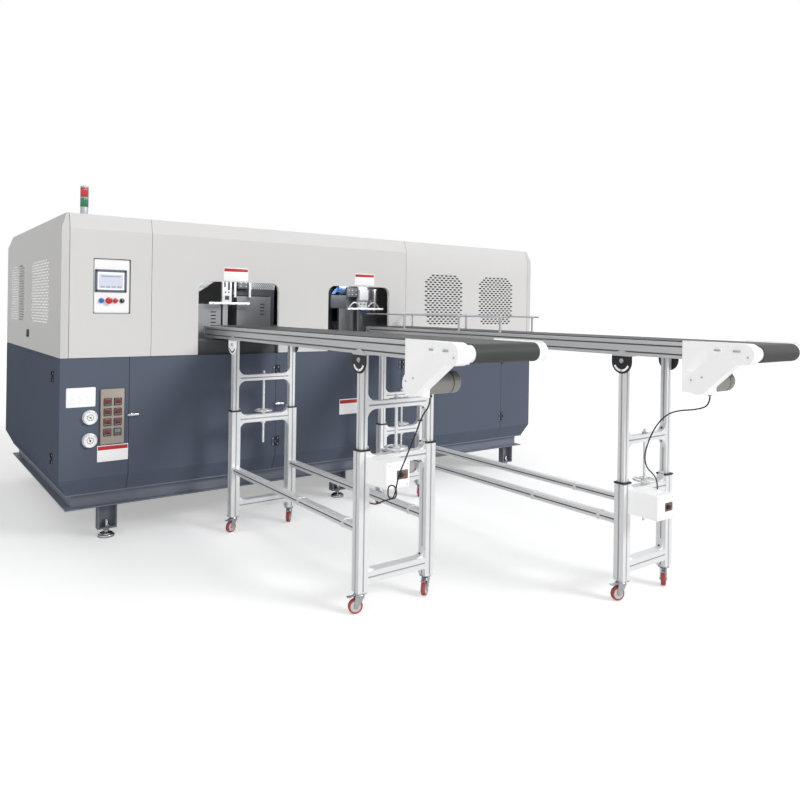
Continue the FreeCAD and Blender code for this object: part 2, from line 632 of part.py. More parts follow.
def moving_leaf(seam, height):
    """The hinge leaf on the door, to the left of the seam."""
    lower, middle, upper = knuckle_spans(height)
    clear = HINGE_KNUCKLE_RADIUS + 1.0
    leaf = block((seam - HINGE_LEAF, seam - clear), (-HINGE_LEAF_THICKNESS, 0.0), (lower[0], upper[1]))
    bridge = block((seam - clear, seam), (-HINGE_LEAF_THICKNESS, -1.5), middle)
    bore = HINGE_PIN_RADIUS + HINGE_RUNNING
    knuckle = hinge_knuckle(HINGE_KNUCKLE_RADIUS, None, seam, middle)
    pin_hole = rod(bore, (seam, -HINGE_AXIS_OUT, middle[0] - 1), (seam, -HINGE_AXIS_OUT, middle[1] + 1))
    return fuse([leaf, bridge, knuckle]).cut(pin_hole)


def fixed_leaf(seam, height, inward):
    """The leaf on the frame's tab, to the right of the seam, with the pin."""
    lower, middle, upper = knuckle_spans(height)
    clear = HINGE_KNUCKLE_RADIUS + 1.0
    leaf = block((seam + clear, seam + HINGE_LEAF), (-HINGE_LEAF_THICKNESS, inward), (lower[0], upper[1]))
    pieces = [leaf, rod(HINGE_PIN_RADIUS, (seam, -HINGE_AXIS_OUT, lower[0]), (seam, -HINGE_AXIS_OUT, upper[1]))]
    for span in (lower, upper):
        pieces.append(hinge_knuckle(HINGE_KNUCKLE_RADIUS, None, seam, span))
        pieces.append(block((seam, seam + clear), (-HINGE_LEAF_THICKNESS, -1.5), span))
    return fuse(pieces)


def end_hinge(shape):
    """A front hinge turned to lie on the left end, with its seam at Y = END_DOOR_Y[0]."""
    turned = shape.copy()
    turned.rotate(V(0, 0, 0), V(0, 0, 1), -90)
    turned.translate(V(0, END_DOOR_Y[0], 0))
    return turned


def lower_casing():
    half = SEAM / 2
    height = (FOLD_BOTTOM, LIGHT_BASE)
    all_y = (0.0, MACHINE_DEPTH)
    left = folded_cover(lower_solid, (0.0, DOOR_EDGES[0] - half), all_y, height, "xyYz")
    right = folded_cover(lower_solid, (DOOR_EDGES[3] + half, MACHINE_LENGTH), all_y, height, "XyYz")
    opening = block((-1.0, RETURN_DEPTH + 1.0), END_DOOR_Y, END_DOOR_Z)
    left = left.cut(opening)
    front = (0.0, RETURN_DEPTH + FOLD_INSET + 1.0)
    parts = {}
    hinges = []
    seams = zip(DOOR_EDGES, DOOR_EDGES[1:])
    for number, (start, end) in enumerate(seams, 1):
        door = folded_cover(lower_solid, (start + half, end - half), front, height, "yYz")
        if number > 1:
            door = door.cut([hinge_notch(start, z) for z in HINGE_Z])
        door = fuse([door] + [moving_leaf(end, z) for z in HINGE_Z])
        parts["front_door_%d" % number] = door
        hinges += [fixed_leaf(end, z, FRAME_SETBACK if number < 3 else 0.0) for z in HINGE_Z]
    end_door = folded_cover(lower_solid, (0.0, RETURN_DEPTH), grown(END_DOOR_Y, -half), grown(END_DOOR_Z, -half),
                            "xX")
    hinges += [end_hinge(fixed_leaf_left(z)) for z in HINGE_Z]
    parts["left_end_door"] = fuse([end_door] + [end_hinge(moving_leaf(0.0, z)) for z in HINGE_Z])
    back = (MACHINE_DEPTH - RETURN_DEPTH - FOLD_INSET - 1.0, MACHINE_DEPTH)
    parts["lower_rear_panel"] = folded_cover(
        lower_solid, (DOOR_EDGES[0] + half, DOOR_EDGES[3] - half), back, height, "yYz")
    parts["left_lower_casing"] = left
    parts["right_lower_casing"] = right
    parts["door_hinges"] = Part.makeCompound(hinges)
    return parts


def fixed_leaf_left(height):
    return fixed_leaf(0.0, height, 0.0)


def is_upright_end(edge, bar):
    """True for the four edges along Y at the ends of a bar that lies along X."""
    box = edge.BoundBox
    at_end = box.XMax < bar.BoundBox.XMin + 1.0 or box.XMin > bar.BoundBox.XMax - 1.0
    return at_end and box.ZLength < 1.0


def door_handles():
    """One swing lever for each front door, beside the door's free edge: rose, neck and lever."""
    parts = {}
    for number, seam in enumerate(DOOR_EDGES[:3], 1):
        pivot = seam + HANDLE_FROM_SEAM
        front = -HANDLE_ROSE[1]
        back = front - HANDLE_NECK[1]
        rose = rod(HANDLE_ROSE[0], (pivot, front, HANDLE_Z), (pivot, 0.0, HANDLE_Z))
        neck = rod(HANDLE_NECK[0], (pivot, back, HANDLE_Z), (pivot, front, HANDLE_Z))
        height, thickness = HANDLE_BAR
        lever = block((pivot - HANDLE_REACH[0], pivot + HANDLE_REACH[1]), (back - thickness, back),
                      around(HANDLE_Z, height))
        lever = lever.makeFillet(height / 2 - 1.0, [edge for edge in lever.Edges if is_upright_end(edge, lever)])
        parts["door_handle_%d" % number] = Part.makeCompound([rose, neck, lever])
    return parts


# ---- base and inner frame --------------------------------------------------------------
def ring(inset, width, z):
    """A rectangular ring round the machine."""
    outer = block((inset, MACHINE_LENGTH - inset), (inset, MACHINE_DEPTH - inset), z)
    gone = inset + width
    return outer.cut(block((gone, MACHINE_LENGTH - gone), (gone, MACHINE_DEPTH - gone), grown(z, 1.0)))


def foot_places():
    return [(x, y) for x in FOOT_X for y in (FOOT_FROM_FACE, MACHINE_DEPTH - FOOT_FROM_FACE)]


def base_frame():
    z = (BASE_BOTTOM, FOLD_BOTTOM)
    web = (BASE_BOTTOM + CHANNEL_WALL, FOLD_BOTTOM - CHANNEL_WALL)
    channel = ring(BASE_INSET, CHANNEL_FLANGE, z)
    channel = channel.cut(ring(BASE_INSET - 1.0, CHANNEL_FLANGE - CHANNEL_WALL + 1.0, web))
    inner = BASE_INSET + CHANNEL_FLANGE
    pieces = [channel]
    for x in FOOT_X:
        pieces.append(block(around(x, CROSS_MEMBER_WIDTH), (inner, MACHINE_DEPTH - inner), z))
    for x, y in foot_places():
        sign = 1.0 if y < MACHINE_DEPTH / 2 else -1.0
        back = y + sign * LEG_DEPTH / 2
        depth = sorted((back, back - sign * LEG_DEPTH))
        leg = block(around(x, LEG_WIDTH), depth, (LEG_BOTTOM, BASE_BOTTOM))
        hollow = sorted((back - sign * CHANNEL_WALL, back - sign * (LEG_DEPTH + 1.0)))
        leg = leg.cut(block(around(x, LEG_WIDTH - 2 * CHANNEL_WALL), hollow,
                            (LEG_BOTTOM + CHANNEL_WALL, BASE_BOTTOM)))
        hole = rod(FOOT_BOLT_RADIUS + FOOT_BOLT_HOLE, (x, y, LEG_BOTTOM - 1),
                   (x, y, LEG_BOTTOM + CHANNEL_WALL + 1))
        pieces.append(leg.cut(hole))
    return fuse(pieces)


def levelling_feet():
    feet = []
    for x, y in foot_places():
        rim = PAD_HEIGHT * PAD_RIM
        pad = Part.makeCone(PAD_RADIUS, PAD_RADIUS * 0.8, PAD_HEIGHT - rim, V(x, y, rim))
        plate = rod(PAD_RADIUS, (x, y, 0), (x, y, rim))
        top = LEG_BOTTOM + CHANNEL_WALL
        bolt = rod(FOOT_BOLT_RADIUS, (x, y, PAD_HEIGHT), (x, y, top + FOOT_BOLT_LENGTH))
        radius, height = FOOT_NUT
        nut_above = rod(radius, (x, y, top), (x, y, top + height))
        nut_below = rod(radius, (x, y, LEG_BOTTOM - height), (x, y, LEG_BOTTOM))
        feet.append(fuse([plate, pad, bolt, nut_above, nut_below]))
    return Part.makeCompound(feet)


def cover_rails(inset):
    """Flat rails between the frame's tubes and the folded edges of the fixed covers."""
    middle = block((inset, MACHINE_LENGTH - inset), (inset, MACHINE_DEPTH - inset), (0.0, MACHINE_HEIGHT))
    whole = ((0.0, MACHINE_LENGTH), (0.0, MACHINE_DEPTH))
    top = MACHINE_HEIGHT - RETURN_DEPTH
    roof_rail = upper_solid(RETURN_DEPTH).common(block(*whole, (top - COVER_RAIL, top))).cut(middle)
    foot_rail = upper_solid(RETURN_DEPTH).common(block(*whole, (LIGHT_BASE, LIGHT_BASE + COVER_RAIL)))
    foot_rail = foot_rail.cut([middle] + [block(grown(span, SHEET), (0.0, SILL_SETBACK), (LIGHT_BASE, SILL_TOP))
                                          for span in WINDOW_SPANS])
    below = (LIGHT_BASE - SEAM - COVER_RAIL, LIGHT_BASE - SEAM)
    head_rail = lower_solid(RETURN_DEPTH).common(block(*whole, below))
    doorway = block((DOOR_EDGES[0], DOOR_EDGES[3]), (0.0, RETURN_DEPTH + DOOR_STOP_GAP), below)
    end_doorway = block((0.0, RETURN_DEPTH + DOOR_STOP_GAP), END_DOOR_Y, below)
    head_rail = head_rail.cut([middle, doorway, end_doorway])
    return [length for rail in (roof_rail, foot_rail, head_rail) for length in rail_lengths(rail, inset)]


def rail_lengths(rail, inset):
    """A rail that runs round the machine, as one length for each side."""
    along = (0.0, MACHINE_LENGTH)
    between = (inset, MACHINE_DEPTH - inset)
    height = (0.0, MACHINE_HEIGHT)
    sides = [
        block(along, (0.0, inset), height),
        block(along, (MACHINE_DEPTH - inset, MACHINE_DEPTH), height),
        block((0.0, inset), between, height),
        block((MACHINE_LENGTH - inset, MACHINE_LENGTH), between, height),
    ]
    return [length for side in sides for length in rail.common(side).Solids]


def inner_frame():
    """The frame's welded tubes, with the deck and the sill seen through the windows."""
    near = FRAME_SETBACK
    inset = near + FOLD_INSET
    low, high = FOLD_BOTTOM, MACHINE_HEIGHT - RETURN_DEPTH - FRAME_TOP_GAP
    ends = (inset, MACHINE_LENGTH - inset - TUBE)
    rows = (inset, MACHINE_DEPTH - inset - TUBE)
    along = (ends[0], ends[1] + TUBE)
    deck_bottom = SILL_TOP - DECK_THICKNESS
    levels = ((low, low + TUBE), (high - TUBE, high))
    long_tubes = [block(along, (y, y + TUBE), z) for y in rows for z in levels]
    cross_tubes = [block((x, x + TUBE), (rows[0], rows[1] + TUBE), z) for x in ends for z in levels]
    posts = [block((x, x + TUBE), (y, y + TUBE), (low, high)) for x in ends for y in rows]
    for seam in DOOR_EDGES:
        posts += [block((seam, seam + TUBE), (y, y + TUBE), (low, deck_bottom)) for y in rows]
        posts.append(block((seam, seam + TUBE), (near, rows[0]), (FOLD_TOP, deck_bottom)))
    deck = block(along, (SILL_SETBACK, rows[1] + TUBE), (deck_bottom, SILL_TOP))
    sill = block(grown((WINDOW_SPANS[0][0], WINDOW_SPANS[1][1]), SILL_LAP),
                 (SILL_SETBACK, SILL_SETBACK + SHEET), (LIGHT_BASE - SILL_LAP, SILL_TOP))
    return Part.makeCompound(apart(long_tubes + cross_tubes + posts + [deck, sill] + cover_rails(inset)))


# ---- controls --------------------------------------------------------------------------
def hmi_panel():
    """The operator panel: a white face set back in the cover, with a framed screen."""
    face = HMI_RECESS
    body = block(grown(HMI_X, -1.0), (face, face + HMI_BODY_DEPTH), grown(HMI_Z, -1.0))
    flange = block(grown(HMI_X, HMI_FLANGE[0]), (SHEET, face + HMI_FLANGE[1]), grown(HMI_Z, HMI_FLANGE[0]))
    flange = flange.cut(block(HMI_X, (0.0, face), HMI_Z))
    front = face - SCREEN_FRAME
    bezel = block(SCREEN_X, (front, face), SCREEN_Z)
    glass = block(grown(SCREEN_X, -SCREEN_BEZEL), (front - 1.0, front + GLASS_DEPTH), grown(SCREEN_Z, -SCREEN_BEZEL))
    panel = fuse([body, flange, bezel]).cut(glass)
    deep = face + BUTTON_HOLE_END
    holes = [rod(BUTTON_STEM_RADIUS + BUTTON_CLEARANCE, (x, face - 1.0, BUTTON_Z), (x, deep, BUTTON_Z))
             for x in BUTTON_X.values()]
    return panel.cut(holes)


def buttons():
    face = HMI_RECESS
    parts = {}
    for name, x in BUTTON_X.items():
        gap = face - BUTTON_TRAVEL_GAP
        stem = rod(BUTTON_STEM_RADIUS, (x, gap - 1.0, BUTTON_Z), (x, face + BUTTON_STEM_END, BUTTON_Z))
        if name == "emergency_stop":
            back = face - MUSHROOM_HEAD[0]
            front = back - MUSHROOM_HEAD[1]
            head = rod(MUSHROOM_RADIUS, (x, front, BUTTON_Z), (x, back, BUTTON_Z))
            rim = [edge for edge in head.Edges if edge.BoundBox.YMax < front + 1.0]
            head = head.makeFillet(MUSHROOM_ROUNDING, rim)
            neck = rod(MUSHROOM_NECK_RADIUS, (x, back, BUTTON_Z), (x, gap, BUTTON_Z))
            parts[name] = fuse([stem, head, neck])
        elif name == "selector_knob":
            back = face - KNOB_SKIRT[0]
            front = back - KNOB_SKIRT[1]
            skirt = rod(KNOB_SKIRT_RADIUS, (x, front, BUTTON_Z), (x, back, BUTTON_Z))
            wide, deep, tall = KNOB_GRIP
            grip = block(around(x, wide), (front - deep, front), around(BUTTON_Z, tall))
            parts[name] = fuse([stem, skirt, grip])
        else:
            cap = rod(BUTTON_RADIUS, (x, gap - BUTTON_CAP, BUTTON_Z), (x, gap, BUTTON_Z))
            parts[name] = fuse([stem, cap])
    return parts


def temperature_panel():
    face = block(TEMPERATURE_X, (-TEMPERATURE_DEPTH, 0.0), TEMPERATURE_Z)
    middle_x = sum(TEMPERATURE_X) / 2
    top = TEMPERATURE_Z[1] - MODULE_TOP
    front = -TEMPERATURE_DEPTH - MODULE_THICKNESS
    side, over, depth = MODULE_POCKET
    pieces = [face]
    for column in (-0.5, 0.5):
        for row in range(MODULE_ROWS):
            x = around(middle_x + column * MODULE_PITCH[0], MODULE_SIZE)
            z = around(top - row * MODULE_PITCH[1], MODULE_SIZE)
            module = block(x, (front, -TEMPERATURE_DEPTH), z)
            window = block(grown(x, -side), (front - 1.0, front + depth), grown(z, -over))
            pieces.append(module.cut(window))
    return fuse(pieces)


def pressure_gauges():
    gauges = []
    for z in GAUGE_Z:
        body = rod(GAUGE_RADIUS - GAUGE_RIM, (GAUGE_X, -GAUGE_DEPTH, z), (GAUGE_X, 0.0, z))
        flange = rod(GAUGE_RADIUS, (GAUGE_X, -GAUGE_FLANGE, z), (GAUGE_X, 0.0, z))
        dial = rod(GAUGE_RADIUS - GAUGE_DIAL[0], (GAUGE_X, -GAUGE_DEPTH - 1.0, z),
                   (GAUGE_X, -GAUGE_DEPTH + GAUGE_DIAL[1], z))
        gauges.append(fuse([body, flange]).cut(dial))
    return Part.makeCompound(gauges)


def signal_tower():
    x, y = TOWER_XY
    pieces = []
    start = MACHINE_HEIGHT
    for height, wider in TOWER_LENGTHS:
        pieces.append(rod(TOWER_RADIUS + wider, (x, y, start), (x, y, start + height)))
        start += height
    return fuse(pieces)


# ---- moulding machinery ----------------------------------------------------------------
def preform_oven():
    """The heating tunnel's housing and the guard beside it, with slots in their fronts."""
    housing = block(OVEN_X, OVEN_Y, (SILL_TOP, OVEN_TOP))
    tunnel = block((OVEN_X[0] - 1.0, OVEN_X[1] - OVEN_WALL), grown(OVEN_Y, -OVEN_WALL),
                   (SILL_TOP + OVEN_WALL, OVEN_TOP - OVEN_ROOF))
    guard = block(GUARD_X, OVEN_Y, (SILL_TOP, GUARD_TOP))
    link = block((OVEN_X[1], GUARD_X[0]), (OVEN_Y[1] - OVEN_WALL, OVEN_Y[1]), (SILL_TOP, OVEN_TOP))
    wide, deep, tall = HEAT_SLOT
    slots = []
    for right, inset, top in zip((OVEN_X[1], GUARD_X[1]), HEAT_SLOT_INSET, (OVEN_TOP, GUARD_TOP)):
        for step in range(HEAT_SLOT_COUNT):
            height = top - HEAT_SLOT_DROP - step * HEAT_SLOT_PITCH
            slots.append(block(around(right - inset, wide), (OVEN_Y[0] - 1.0, OVEN_Y[0] + deep),
                               around(height, tall)))
    return fuse([housing.cut(tunnel), guard, link]).cut(slots)


def tie_bar_places():
    side, drop = TIE_BAR_INSET
    rows = (PLATEN_Y[0] + side, PLATEN_Y[1] - side)
    return [(y, z) for y in rows for z in (MOULD_BOTTOM - CARRIER[1] / 2, PLATEN_TOP - drop)]


def clamp_frame():
    """Two fixed platens on four tie bars, with the dark beam above the guard."""
    pieces = []
    for x in (PLATEN_X[0], PLATEN_X[1] - PLATEN_THICKNESS):
        pieces.append(block((x, x + PLATEN_THICKNESS), PLATEN_Y, (SILL_TOP, PLATEN_TOP)))
    for y, z in tie_bar_places():
        pieces.append(rod(TIE_BAR_RADIUS, (PLATEN_X[0] - TIE_BAR_END, y, z), (PLATEN_X[1] + TIE_BAR_END, y, z)))
    for y, inward in zip(PLATEN_Y, (PLATEN_TIE, -PLATEN_TIE)):
        pieces.append(block(PLATEN_X, sorted((y, y + inward)), (PLATEN_TOP - PLATEN_TIE, PLATEN_TOP)))
    depth, height = CLAMP_BEAM
    front = OVEN_Y[0] + CLAMP_BEAM_SETBACK
    bottom = GUARD_TOP + CLAMP_BEAM_GAP
    beam = block((GUARD_X[0] - CLAMP_BEAM_REACH, PLATEN_X[0]), (front, front + depth), (bottom, bottom + height))
    post = block((GUARD_X[1], PLATEN_X[0]), (front, PLATEN_Y[0] + PLATEN_TIE), (SILL_TOP, bottom + height))
    pieces += [beam, post]
    return fuse(pieces + crosshead()).cut(stretch_bores())


def stretch_axis():
    """X and Y of the stretch unit's middle, between the platens."""
    return (sum(PLATEN_X) / 2, sum(PLATEN_Y) / 2)


def guide_pin_places():
    x, y = stretch_axis()
    return [(x, y + side * GUIDE_PIN_PITCH / 2) for side in (-1.0, 1.0)]


def crosshead():
    """The bridge over the stretch unit, with its cylinder and its two guide pins."""
    x, y = stretch_axis()
    width, thickness = CROSSHEAD
    across = around(x, width)
    pieces = [block(across, PLATEN_Y, (CROSSHEAD_Z, CROSSHEAD_Z + thickness))]
    for side, inward in zip(PLATEN_Y, (thickness, -thickness)):
        pieces.append(block(across, sorted((side, side + inward)), (PLATEN_TOP, CROSSHEAD_Z)))
    pieces.append(rod(CYLINDER_RADIUS, (x, y, CYLINDER_Z[0]), (x, y, CYLINDER_Z[1])))
    pin_end = STRETCH_PLATE_Z - STRETCH_TRAVEL - GUIDE_PIN_END
    pieces += [rod(GUIDE_PIN_RADIUS, (*place, pin_end), (*place, CROSSHEAD_Z)) for place in guide_pin_places()]
    return pieces


def stretch_bores():
    """The cylinder's bore, open below."""
    x, y = stretch_axis()
    top = STRETCH_PLATE_Z + STRETCH_PLATE[2] + PISTON_LENGTH + PISTON_GAP
    return [rod(PISTON_RADIUS + SLIDING_CLEARANCE, (x, y, CYLINDER_Z[0] - 1.0), (x, y, top))]


def mould_halves():
    """Two mould halves on carrier plates that slide on the tie bars."""
    middle = sum(PLATEN_X) / 2
    centre_y = sum(PLATEN_Y) / 2
    z = (MOULD_BOTTOM, MOULD_TOP)
    thickness, below, drop = CARRIER
    cavity = (z[0] + CAVITY_ENDS[0], z[1] - CAVITY_ENDS[1])
    parts = {}
    for name, sign in (("mould_half_left", -1.0), ("mould_half_right", 1.0)):
        inner = middle + sign * MOULD_GAP / 2
        back = inner + sign * MOULD_SIZE[0]
        half = block(sorted((inner, back)), around(centre_y, MOULD_SIZE[1]), z)
        cavities = []
        for step in range(CAVITY_COUNT):
            y = centre_y + (step - (CAVITY_COUNT - 1) / 2) * CAVITY_PITCH
            cavities.append(rod(CAVITY_RADIUS, (middle, y, cavity[0]), (middle, y, cavity[1])))
            cavities.append(rod(CAVITY_RADIUS * CAVITY_NECK, (middle, y, cavity[1] - 1.0), (middle, y, z[1] + 1.0)))
        plate = block(sorted((back, back + sign * thickness)), grown(PLATEN_Y, -CARRIER_INSET),
                      (MOULD_BOTTOM - below, PLATEN_TOP - drop))
        bores = [rod(TIE_BAR_RADIUS + TIE_BAR_CLEARANCE, (PLATEN_X[0], y, height), (PLATEN_X[1], y, height))
                 for y, height in tie_bar_places()]
        parts[name] = fuse([half.cut(cavities), plate]).cut(bores)
    return parts


def carriage_rail():
    """The guide rail behind the transfer beam, on two posts that stand on the deck."""
    y = (BEAM_Y + BEAM_SIZE / 2 + SLIDING_CLEARANCE,) * 2
    y = (y[0], y[1] + CARRIAGE_RAIL[0])
    z = around(BEAM_Z, CARRIAGE_RAIL[1])
    pieces = [block(CARRIAGE_RAIL_X, y, z)]
    for x in CARRIAGE_POSTS:
        pieces.append(block((x, x + CARRIAGE_POST), y, (SILL_TOP, z[0])))
    return fuse(pieces)


def transfer_beam():
    """The carriage that carries bottles to the belts: a beam, two columns and their bars."""
    y = around(BEAM_Y, BEAM_SIZE)
    front = (y[0] - GRIPPER_BAR, y[0])
    top = BEAM_Z + BEAM_SIZE
    pieces = [block(BEAM_X, y, (BEAM_Z - BEAM_SIZE, top))]
    section, length = GRIPPER_FINGER
    for column, (start, end, rise) in zip(GRIPPER_COLUMNS, GRIPPER_BARS):
        height = SILL_TOP + rise
        pieces.append(block(column, y, (height - GRIPPER_BAR / 2, BEAM_Z)))
        pieces.append(block((start, end), front, around(height, GRIPPER_BAR)))
        for share in GRIPPER_FINGER_SHARES:
            x = start + (end - start) * share
            pieces.append(block(around(x, section), (front[0] - length, front[0]), around(height, section)))
    low, high, depth = GRIPPER_BLOCK
    pieces.append(block(GRIPPER_COLUMNS[1], (y[0] - depth, y[0]), (SILL_TOP + low, SILL_TOP + high)))
    back = y[1] + 2 * SLIDING_CLEARANCE + CARRIAGE_RAIL[0]
    rail_top = BEAM_Z + CARRIAGE_RAIL[1] / 2 + SLIDING_CLEARANCE
    for x in CARRIAGES:
        hook = block(around(x, CARRIAGE_WIDTH), (y[0], back + CARRIAGE_PLATE), (rail_top, top + CARRIAGE_PLATE))
        lip = block(around(x, CARRIAGE_WIDTH), (back, back + CARRIAGE_PLATE), (BEAM_Z - CARRIAGE_RAIL[1] / 2, rail_top))
        pieces += [hook, lip]
    return fuse(pieces)


def stretch_unit():
    """The plate with four stretch rods, on the piston that drives them into the mould."""
    x, centre_y = stretch_axis()
    width, length, thickness = STRETCH_PLATE
    top = STRETCH_PLATE_Z + thickness
    plate = block(around(x, width), around(centre_y, length), (STRETCH_PLATE_Z, top))
    holes = [rod(GUIDE_PIN_RADIUS + SLIDING_CLEARANCE, (*place, STRETCH_PLATE_Z - 1.0), (*place, top + 1.0))
             for place in guide_pin_places()]
    rods = [rod(PISTON_RADIUS, (x, centre_y, top), (x, centre_y, top + PISTON_LENGTH))]
    for step in range(CAVITY_COUNT):
        y = centre_y + (step - (CAVITY_COUNT - 1) / 2) * CAVITY_PITCH
        rods.append(rod(STRETCH_ROD_RADIUS, (x, y, STRETCH_PLATE_Z - STRETCH_ROD_LENGTH), (x, y, STRETCH_PLATE_Z)))
    return fuse([plate] + rods).cut(holes)


def valve_unit():
    """The lifting cylinder behind the right window, on its post."""
    x, radius = VALVE_CYLINDER
    past, depth, tall = VALVE_POST
    y = OVEN_Y[0] + depth
    front = y + depth
    support = block((PLATEN_X[1], x + past), (front, front + depth), (SILL_TOP, SILL_TOP + tall))
    low, high = VALVE_CYLINDER_RISE
    cylinder = rod(radius, (x, y, SILL_TOP + low), (x, y, SILL_TOP + high))
    width, low, high = VALVE_BRACKET
    bracket = block(around(x, width), (y, front), (SILL_TOP + low, SILL_TOP + high))
    return fuse([support, cylinder, bracket])


# ---- conveyors -------------------------------------------------------------------------
def slotted_outline(width, height, slots_side, slots_top, depth):
    """Corner points of an extrusion's section, centred, with grooves on every face.

    slots_side and slots_top hold the groove middles along the height and the width.
    """
    w, h, s = width / 2, height / 2, SLOT_WIDTH / 2
    points = [(-w, -h)]
    for middle in slots_top:
        points += [(middle - s, -h), (middle - s, -h + depth), (middle + s, -h + depth), (middle + s, -h)]
    points.append((w, -h))
    for middle in slots_side:
        points += [(w, middle - s), (w - depth, middle - s), (w - depth, middle + s), (w, middle + s)]
    points.append((w, h))
    for middle in reversed(slots_top):
        points += [(middle + s, h), (middle + s, h - depth), (middle - s, h - depth), (middle - s, h)]
    points.append((-w, h))
    for middle in reversed(slots_side):
        points += [(-w, middle + s), (-w + depth, middle + s), (-w + depth, middle - s), (-w, middle - s)]
    return points


def upright(size, depth, x, y, z):
    outline = slotted_outline(size, size, (0.0,), (0.0,), depth)
    return prism([(x + a, y + b, z[0]) for a, b in outline], (0, 0, z[1] - z[0]))


def bar_along_x(size, x, y, z):
    outline = slotted_outline(size, size, (0.0,), (), SLOT_DEPTH)
    return prism([(x[0], y + a, z + b) for a, b in outline], (x[1] - x[0], 0, 0))


def bar_along_y(width, height, slots, x, y, z):
    outline = slotted_outline(width, height, slots, (), SLOT_DEPTH)
    return prism([(x + a, y[0], z + b) for a, b in outline], (0, y[1] - y[0], 0))


def gusset(x, y, z, sign_x, sign_z):
    """A corner bracket with a hollow round side, in the X-Z plane."""
    corner = V(x, y - GUSSET_THICKNESS / 2, z)
    along_x = corner + V(sign_x * GUSSET, 0, 0)
    along_z = corner + V(0, 0, sign_z * GUSSET)
    bend = GUSSET * (1 - math.sqrt(0.5)) * 1.05
    middle = corner + V(sign_x * bend, 0, sign_z * bend)
    edges = [Part.makeLine(corner, along_x), Part.Arc(along_x, middle, along_z).toShape(),
             Part.makeLine(along_z, corner)]
    return Part.Face(Part.Wire(edges)).extrude(V(0, GUSSET_THICKNESS, 0))


def frame_gussets(place, y, z, inner, size, above, below):
    """Brackets at both ends of a crossbar of a given size, above and below it."""
    left, right = post_places(place)
    pieces = []
    for x, sign in ((left + inner, 1.0), (right - inner, -1.0)):
        if above:
            pieces.append(gusset(x, y, z + size / 2, sign, 1.0))
        if below:
            pieces.append(gusset(x, y, z - size / 2, sign, -1.0))
    return pieces


def post_places(place):
    """Both posts' middles along X."""
    return (place["left"], place["left"] + place["track"])


def conveyor_stand(place):
    left, right = post_places(place)
    collar = place["collar"]
    half = LOWER_POST / 2
    bar_z = collar - LOWER_BAR_DROP
    inside = LOWER_POST - 2 * LOWER_WALL
    guide = POST + 2 * COLLAR_CLEARANCE
    pieces = []
    holes = []
    for y in (place["rear"], place["near"]):
        for x in (left, right):
            post = upright(LOWER_POST, LOWER_SLOT_DEPTH, x, y, (LOWER_BOTTOM, collar - COLLAR_HEIGHT))
            post = post.cut(block(around(x, inside), around(y, inside), (LOWER_BOTTOM + LOWER_FLOOR, collar)))
            lid = block(around(x, COLLAR_SIZE), around(y, COLLAR_SIZE), (collar - COLLAR_HEIGHT, collar))
            lid = lid.cut(block(around(x, guide), around(y, guide), grown((collar - COLLAR_HEIGHT, collar), 1.0)))
            pieces += [post, lid]
        span = (left + half, right - half)
        pieces.append(bar_along_x(LOWER_BAR, span, y, bar_z))
        pieces.append(bar_along_x(LOWER_POST, span, y, BOTTOM_BAR_Z))
        pieces += frame_gussets(place, y, bar_z, half, LOWER_BAR, True, True)
        pieces += frame_gussets(place, y, BOTTOM_BAR_Z, half, LOWER_POST, True, False)
        middle = (left + right) / 2
        bottom = bar_z - LOWER_BAR / 2
        pieces.append(rod(THRUST_RING[0], (middle, y, bottom - THRUST_RING[1]), (middle, y, bottom)))
        holes.append(rod(ROD_RADIUS + ROD_CLEARANCE, (middle, y, bar_z - LOWER_BAR), (middle, y, bar_z + LOWER_BAR)))
    span = (place["near"] + half, place["rear"] - half)
    for x in (left, right):
        pieces.append(bar_along_y(POST, POST, (0.0,), x, span, TIE_Z))
        for along in TIE_SLEEVES:
            pieces.append(block(around(x, SLEEVE_SIZE), around(span[0] + along, SLEEVE_LENGTH),
                                around(TIE_Z, SLEEVE_SIZE)))
    return fuse(pieces).cut(holes)


def cable_clip(place):
    """The clip on the near left post that holds the end of the cable."""
    x = place["left"] + LOWER_POST / 2
    y = place["near"] - CLIP_SETBACK
    return block((x - LOWER_SLOT_DEPTH, x + CLIP_SIZE[0]), (y, y + CLIP_SIZE[1]), around(CLIP_Z, CLIP_SIZE[2]))


def conveyor_uprights(place):
    left, right = post_places(place)
    collar = place["collar"]
    half = POST / 2
    bar_z = collar + UPPER_BAR_RISE
    top = RAIL_TOP - RAIL_HEIGHT - PIVOT_PLATE_THICKNESS
    pieces = []
    for y in (place["rear"], place["near"]):
        for x in (left, right):
            pieces.append(upright(POST, SLOT_DEPTH, x, y, (collar - POST_OVERLAP, top)))
        span = (left + half, right - half)
        pieces.append(bar_along_x(POST, span, y, bar_z))
        pieces += frame_gussets(place, y, bar_z, half, POST, True, True)
        middle = (left + right) / 2
        pieces.append(rod(ROD_RADIUS, (middle, y, collar - ROD_BELOW_COLLAR), (middle, y, bar_z + ROD_ABOVE_BAR)))
        pieces.append(rod(ROD_NUT[0], (middle, y, bar_z + half), (middle, y, bar_z + half + ROD_NUT[1])))
    return fuse(pieces)


